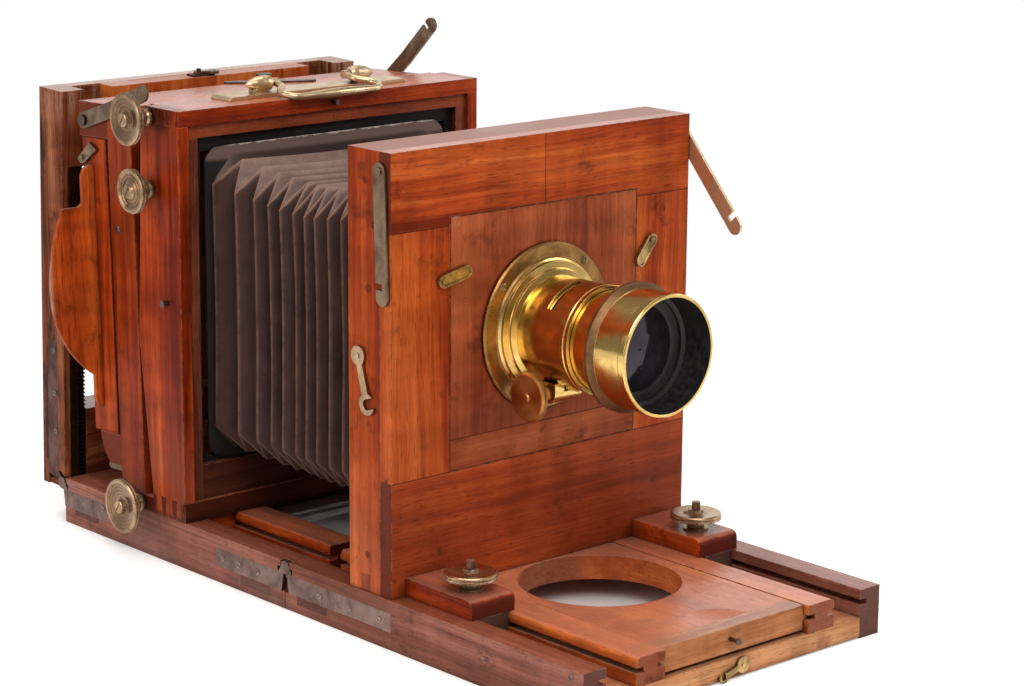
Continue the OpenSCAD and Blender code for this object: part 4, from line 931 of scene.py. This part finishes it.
class PLATE_OT_stage(bpy.types.Operator):
    """Place the camera, the lamps and the pale floor"""

    bl_idname = "plate.stage"
    bl_label = "Stage"
    bl_options = {"REGISTER", "UNDO"}

    def execute(self, context):
        scene = context.scene
        scene.view_settings.view_transform = "Standard"
        self.camera(scene)
        self.lamp(scene, "key", (-1.15, -1.75, 2.3), (0, 0, 0.15), (1.5, 1.5), 44)
        self.lamp(scene, "side", (2.3, -1.5, 1.5), (0, -0.05, 0.15), (1.1, 1.4), 17)
        self.lamp(scene, "fill", (-2.7, 0.5, 1.1), (0, 0.05, 0.17), (1.6, 1.4), 22)
        self.lamp(scene, "top", (0.2, 0.5, 2.5), (0, 0, 0.1), (1.8, 1.5), 26)
        self.world(scene)
        self.floor()
        self.backdrop()
        return {"FINISHED"}

    def camera(self, scene):
        data = bpy.data.cameras.new("photo_camera")
        data.sensor_width = SENSOR
        data.lens = FOCAL_LENGTH / PHOTO_WIDTH * SENSOR
        data.clip_end = 60
        eye = bpy.data.objects.new("photo_camera", data)
        scene.collection.objects.link(eye)
        look = (AIM - EYE).normalized()
        level = look.cross(Vector((0, 0, 1))).normalized()
        upright = level.cross(look)
        right = level * math.cos(ROLL) + upright * math.sin(ROLL)
        up = upright * math.cos(ROLL) - level * math.sin(ROLL)
        eye.matrix_world = Matrix.Translation(EYE) @ Matrix((right, up, -look)).transposed().to_4x4()
        scene.camera = eye

    def lamp(self, scene, name, place, target, size, power):
        data = bpy.data.lights.new(name, "AREA")
        data.shape = "RECTANGLE"
        data.size, data.size_y = size
        data.energy = power
        data.color = (1.0, 0.985, 0.965)
        obj = bpy.data.objects.new(name, data)
        scene.collection.objects.link(obj)
        obj.location = place
        obj.rotation_mode = "QUATERNION"
        obj.rotation_quaternion = (Vector(target) - Vector(place)).to_track_quat("-Z", "Y")

    def world(self, scene):
        """White where it is seen, and a dimmer light on the object."""
        scene.world = bpy.data.worlds.new("studio")
        scene.world.use_nodes = True
        t = Tree(scene.world.node_tree, "OutputWorld")
        dim = t.add("MapRange", {"Value": t.rays("Glossy"), "To Min": 0.42, "To Max": 0.24})
        plain = t.add("Background", {"Color": (1, 0.985, 0.97), "Strength": dim})
        white = t.add("Background", {"Color": (1, 1, 1), "Strength": 1.0})
        t.end(t.add("MixShader", {0: t.rays("Camera", "Transmission"), 1: plain, 2: white}))

    def floor(self):
        """Pale paper that turns plain white away from the object, with a painted shadow under the base."""
        s = Look("paper_floor")
        paper = s.ramp(s.noise(s.place, 180, 3), (0.3, (0.86, 0.855, 0.85)), (0.7, (0.9, 0.895, 0.89)))
        matt = s.add("BsdfDiffuse", {"Color": paper})
        # Painted shadow: no glow under the base, so the paper is darker there
        base_shadow = s.inside((-0.14, 0.14), (-0.3, 0.285), soft=0.012)
        lift = s.add("Emission", {"Color": (1, 0.985, 0.98), "Strength": s.blend(base_shadow, 0.36, 0.0)})
        both = s.add("AddShader", {0: matt, 1: lift})
        glow = s.add("Emission", {"Color": (1, 1, 1), "Strength": 1.0})
        away = s.band(s.vector("LENGTH", s.place), 0.55, 1.25)
        far = s.add("MixShader", {0: away, 1: both, 2: glow})
        s.end(s.add("MixShader", {0: s.rays(*SEEN), 1: matt, 2: far}))
        rings = [0.0, 0.4, 0.9, 1.6, 3.0, 6.0, 14.0]
        turns = [2 * math.pi * k / 48 for k in range(48)]
        verts = [(r * math.cos(a), r * math.sin(a), -0.0002) for r in rings for a in turns]
        faces = []
        for i in range(len(rings) - 1):
            for k in range(48):
                j = (k + 1) % 48
                faces.append((i * 48 + k, i * 48 + j, (i + 1) * 48 + j, (i + 1) * 48 + k))
        piece("floor", verts, faces, s.material)

    def backdrop(self):
        """A tall white sheet round the far side, which metal and glass mirror."""
        s = Look("paper_backdrop")
        paper = s.mix(s.noise(s.place, 3, 2), (1, 1, 1), (0.97, 0.97, 0.97))
        glow = s.add("Emission", {"Color": paper, "Strength": 1.0})
        clear = s.add("BsdfTransparent")
        s.end(s.add("MixShader", {0: s.rays(*SEEN), 1: clear, 2: glow}))
        verts = []
        for k in range(33):
            a = math.radians(48 - 85 + 170 * k / 32)
            verts += [(8 * math.cos(a), 8 * math.sin(a), z) for z in (-0.01, 6.0)]
        faces = [(2 * k, 2 * k + 1, 2 * k + 3, 2 * k + 2) for k in range(32)]
        piece("backdrop", verts, faces, s.material)


class PLATE_OT_timber(bpy.types.Operator):
    """Paint every wooden node, board by board"""

    bl_idname = "plate.timber"
    bl_label = "Timber"
    bl_options = {"REGISTER", "UNDO"}

    def execute(self, context):
        for slot, tone, marks, *names in TIMBER:
            for name in names:
                paint_timber(name, TONES[tone], marks)
        return {"FINISHED"}


# Name, light and dark colour, roughness, tarnish and slot of a finish, then its nodes
PLATES = (
    ("hinge_brass", (0.25, 0.165, 0.14), (0.11, 0.066, 0.056), 0.42, 0.8, "brass_hinge", "base_hinges"),
    ("tail_plate", (0.145, 0.07, 0.055), (0.06, 0.028, 0.022), 0.46, 0.8, "brass_hinge", "tail_brass"),
    # Painted light: the right stay is a lighter brass than the left one, for the light it catches
    ("stay_brass", (0.86, 0.68, 0.46), (0.52, 0.38, 0.24), 0.5, 0.5, "brass_hinge", "stay_right"),
    ("rack_brass", (0.085, 0.058, 0.038), (0.03, 0.018, 0.012), 0.42, 0.8, "brass_rack",
     "base_racks", "tail_racks"),
    ("bush_brass", *GOLD, 0.3, 0.6, "brass_lens", "tripod_bush"),
    ("bright_brass", (0.62, 0.43, 0.19), (0.2, 0.115, 0.045), 0.3, 0.9, "brass_hinge",
     "base_hook", "button_left", "button_right"),
    ("khaki_brass", (0.5, 0.345, 0.2), (0.22, 0.138, 0.074), 0.34, 0.8, "brass_hinge", "front_hook"),
    ("bronze", *BRONZE, 0.36, 0.8, "brass_hinge",
     "tail_hook", "shutter_catch", "link_left", "link_right", "stay_left"),
    ("dark_steel", (0.155, 0.12, 0.105), (0.06, 0.042, 0.036), 0.36, 0.8, "steel_dark",
     "panel_stud", "catch_studs", "swing_brass"),
)


class PLATE_OT_metal(bpy.types.Operator):
    """Paint every metal node and the glass"""

    bl_idname = "plate.metal"
    bl_label = "Metal and Glass"
    bl_options = {"REGISTER", "UNDO"}

    def execute(self, context):
        self.turned_knobs()
        self.lens()
        self.plates()
        return {"FINISHED"}

    def give(self, material, slot, *names):
        for name in names:
            node = nodes[name]
            node.data.materials.clear()
            node.data.materials.append(material)
            for polygon in node.data.polygons:
                polygon.material_index = 0

    def turned_knobs(self):
        knobs = (
            ("rack_knob", "rack_knobs", KNOB, 0.85, "X", 110, (0.0062, 0.018)),
            ("upper_knob", "upper_knob_left", KNOB, 0.85, "X", 104, (0.0062, 0.0165)),
            ("lower_knob", "lower_knob_left", KNOB, 0.85, "X", 88, (0.0062, 0.014)),
            ("nut_left", "thumb_nut_left", NUT, 0.7, "Z", 96, None),
            ("nut_right", "thumb_nut_right", NUT, 0.7, "Z", 96, None),
        )
        for name, node, colours, tarnish, axis, teeth, dish in knobs:
            shape = {"turned": (node, axis), "teeth": teeth, "dish": dish}
            self.give(metal(f"{name}_brass", *colours, 0.27, tarnish, **shape), "brass_knob", node)
        look = metal("focus_knob_brass", (0.6, 0.26, 0.08), (0.3, 0.105, 0.026), 0.4, 0.6,
                     turned=("focus_knob", "X"), teeth=90)
        self.give(look, "knob_lens", "focus_knob")

    def lens(self):
        line = ("lens_jacket", "Y")
        looks = (
            metal("lens_brass", settings().lacquer, GOLD[1], 0.15, 0.42, 0.3, turned=line, smooth=True),
            black_paint(),
            metal("flange_brass", (0.38, 0.195, 0.062), (0.15, 0.062, 0.02), 0.3, 0.7, turned=line),
            metal("hood_ring_brass", (0.22, 0.115, 0.05), (0.09, 0.042, 0.018), 0.46, 0.8, turned=line),
        )
        gold, black, flange, ring = range(4)
        for name in ("lens_jacket", "lens_tube"):
            self.give(looks[gold], "brass_lens", name)
            for look in looks[1:]:
                nodes[name].data.materials.append(look)
        for polygon in nodes["lens_jacket"].data.polygons:
            if polygon.center.y > -0.1222:
                polygon.material_index = flange
            if self.faces_in(polygon):
                polygon.material_index = black
        for polygon in nodes["lens_tube"].data.polygons:
            y = polygon.center.y
            reach = self.radial(polygon).length
            if reach > 0.0405 and -0.2098 < y < -0.2041:
                polygon.material_index = ring
            if self.faces_in(polygon) or reach < 0.0385 and y < -0.205 and abs(polygon.normal.y) > 0.3:
                polygon.material_index = black
        self.give(glass(), "glass", "lens_glass")

    def radial(self, polygon):
        return Vector((polygon.center.x, 0, polygon.center.z - LENS_Z))

    def faces_in(self, polygon):
        """True for the walls of the lens's bore."""
        radial = self.radial(polygon)
        return radial.length < 0.0412 and polygon.normal.dot(radial.normalized()) < -0.15

    def plates(self):
        for name, light, dark, rough, tarnish, slot, *names in PLATES:
            self.give(metal(name, light, dark, rough, tarnish), slot, *names)
        self.give(bpy.data.materials["bronze"], "brass_rack", "rack_pinion")
        look = metal("handle_brass", (0.78, 0.58, 0.36), (0.42, 0.28, 0.155), 0.3, 0.5, 0.25)
        self.give(look, "brass_knob", "handle_plate", "bail")


class PLATE_OT_bellows(bpy.types.Operator):
    """Fold the two halves of the bellows between box and front standard"""

    bl_idname = "plate.bellows"
    bl_label = "Bellows"
    bl_options = {"REGISTER", "UNDO"}

    def execute(self, context):
        cloth = cloth_material()
        middle = [(MIDDLE_Y, 0, MIDDLE_TOP)]
        rear = sleeve("bellows_rear_cloth", folds(REAR_RIDGES) + middle, cloth,
                      before=((125.2, 113, 310, 78, 8), (121, 105, 306, 82, 16)))
        front = sleeve("bellows_front_cloth", middle + folds(FRONT_RIDGES), cloth,
                       after=((-67, 104, 304, 84, 16), (-72.8, 113, 305, 83, 8)))
        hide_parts("bellows_rear")
        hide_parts("bellows_front")
        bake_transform(rear)
        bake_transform(front)
        return {"FINISHED"}


class PLATE_OT_screws(bpy.types.Operator):
    """Set the wood screws that hold the fittings"""

    bl_idname = "plate.screws"
    bl_label = "Screws"
    bl_options = {"REGISTER", "UNDO"}

    def execute(self, context):
        rng = random.Random(7)
        looks = {
            "steel": metal("screw_steel", (0.22, 0.16, 0.14), (0.08, 0.052, 0.043), 0.36, 0.8),
            "mauve": metal("screw_mauve", (0.33, 0.235, 0.205), (0.13, 0.082, 0.07), 0.4, 0.7),
            "brass": metal("screw_brass", (0.34, 0.235, 0.12), (0.13, 0.08, 0.04), 0.34, 0.8),
        }
        for (body, look), heads in self.heads().items():
            bm = bmesh.new()
            for at, normal, r in heads:
                slotted_screw(bm, at, normal, r * MM * settings().screws, rng.uniform(0, math.pi))
            name = f"screws_{look}_{body}"
            mesh = bpy.data.meshes.new(name)
            bmesh.ops.recalc_face_normals(bm, faces=bm.faces)
            bm.to_mesh(mesh)
            bm.free()
            obj = place(name, mesh, looks[look])
            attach(obj, body)
        return {"FINISHED"}

    def heads(self):
        """(place, normal, radius in mm) of the screws of each body and look."""
        groups = {}

        def add(body, look, at, normal, r):
            groups.setdefault((body, look), []).append((at, normal, r))

        for side in (-1, 1):
            normal = (side, 0, 0)
            x = side * (RAIL_X + 0.15 * MM)
            for y, z in ((-215.4, 19.3), (-297.3, 29.5)):
                add("base", "steel", (x, y * MM, z * MM), normal, 2.3)
            for y in (-41, -74, -106, 31, 53, 72, 226.6, 243):
                z = 21.7 if y > 200 else 19
                add("base", "mauve", (x, y * MM, z * MM), normal, 2.4)
            add("swing", "steel", (side * 0.14115, *tilted(0.193, 0.245)), normal, 3.0)
        for z in (135, 101, 70.6):
            for side in (-1, 1):
                add("tailboard", "steel", (side * 0.1402, 0.289, z * MM), (side, 0, 0), 2.4)
        for k in range(4):
            a = math.radians(52 + 90 * k)
            at = (0.0535 * math.cos(a), FACE_Y - 0.0039, LENS_Z + 0.0535 * math.sin(a))
            add("front", "brass", at, (0, -1, 0), 3.0)
        return groups


class PLATE_PT_panel(bpy.types.Panel):
    """Controls of the plate camera's looks"""

    bl_label = "Plate Camera"
    bl_idname = "PLATE_PT_panel"
    bl_space_type = "VIEW_3D"
    bl_region_type = "UI"
    bl_category = "Plate Camera"

    def draw(self, context):
        layout = self.layout
        values = context.scene.plate_camera
        for key in PlateCameraSettings.__annotations__:
            layout.prop(values, key)
        for operator in OPERATORS:
            layout.operator(operator.bl_idname)


def slider(name, description, default):
    return FloatProperty(
        name=name, description=description, default=default, min=0, max=1, subtype="FACTOR",
    )


def colour(name, description, default):
    return FloatVectorProperty(
        name=name, description=description, default=default, min=0, max=1, size=3, subtype="COLOR",
    )


class PlateCameraSettings(bpy.types.PropertyGroup):
    """How old the camera looks, and its finishes"""

    wear: slider("Edge wear", "How far the polish is rubbed off the edges", 0.75)
    # How dark the painted shade is in the corners of the wood and the hollows of the metal
    shade_depth: slider("Shade Depth", "How dark the dirt in corners and joints is", 0.8)
    # How much dust and painted sheen lie on the tops of the bellows
    dust: slider("Dust and Sheen", "How much dust lies on the bellows", 0.75)
    # Colour of the painted shade in the corners of the wood
    shade: colour("Shade", "Colour of the dirt in the corners of the wood", (0.01, 0.005, 0.004))
    # Colour of the dust and painted sheen on the bellows
    dust_and_sheen_colour: colour("Dust Colour", "Colour of the dust on the bellows", (0.27, 0.175, 0.145))
    lacquer: colour("Lacquer", "Colour of the lens's lacquered brass", GOLD[0])
    cloth: FloatProperty(
        name="Cloth", description="Thickness of the bellows' cloth", default=0.0009,
        min=0.0003, max=0.003, precision=4, unit="LENGTH",
    )
    screws: FloatProperty(
        name="Screws", description="Size of the screw heads", default=1, min=0.5, max=1.5,
    )


OPERATORS = (PLATE_OT_stage, PLATE_OT_timber, PLATE_OT_metal, PLATE_OT_bellows, PLATE_OT_screws)
CLASSES = (PlateCameraSettings, *OPERATORS, PLATE_PT_panel)


def register():
    for cls in CLASSES:
        bpy.utils.register_class(cls)
    bpy.types.Scene.plate_camera = PointerProperty(type=PlateCameraSettings)


def unregister():
    del bpy.types.Scene.plate_camera
    for cls in reversed(CLASSES):
        bpy.utils.unregister_class(cls)


def main():
    register()
    bpy.ops.plate.timber()
    bpy.ops.plate.metal()
    bpy.ops.plate.bellows()
    bpy.ops.plate.screws()
    bpy.ops.plate.stage()


if __name__ == "__main__":
    main()
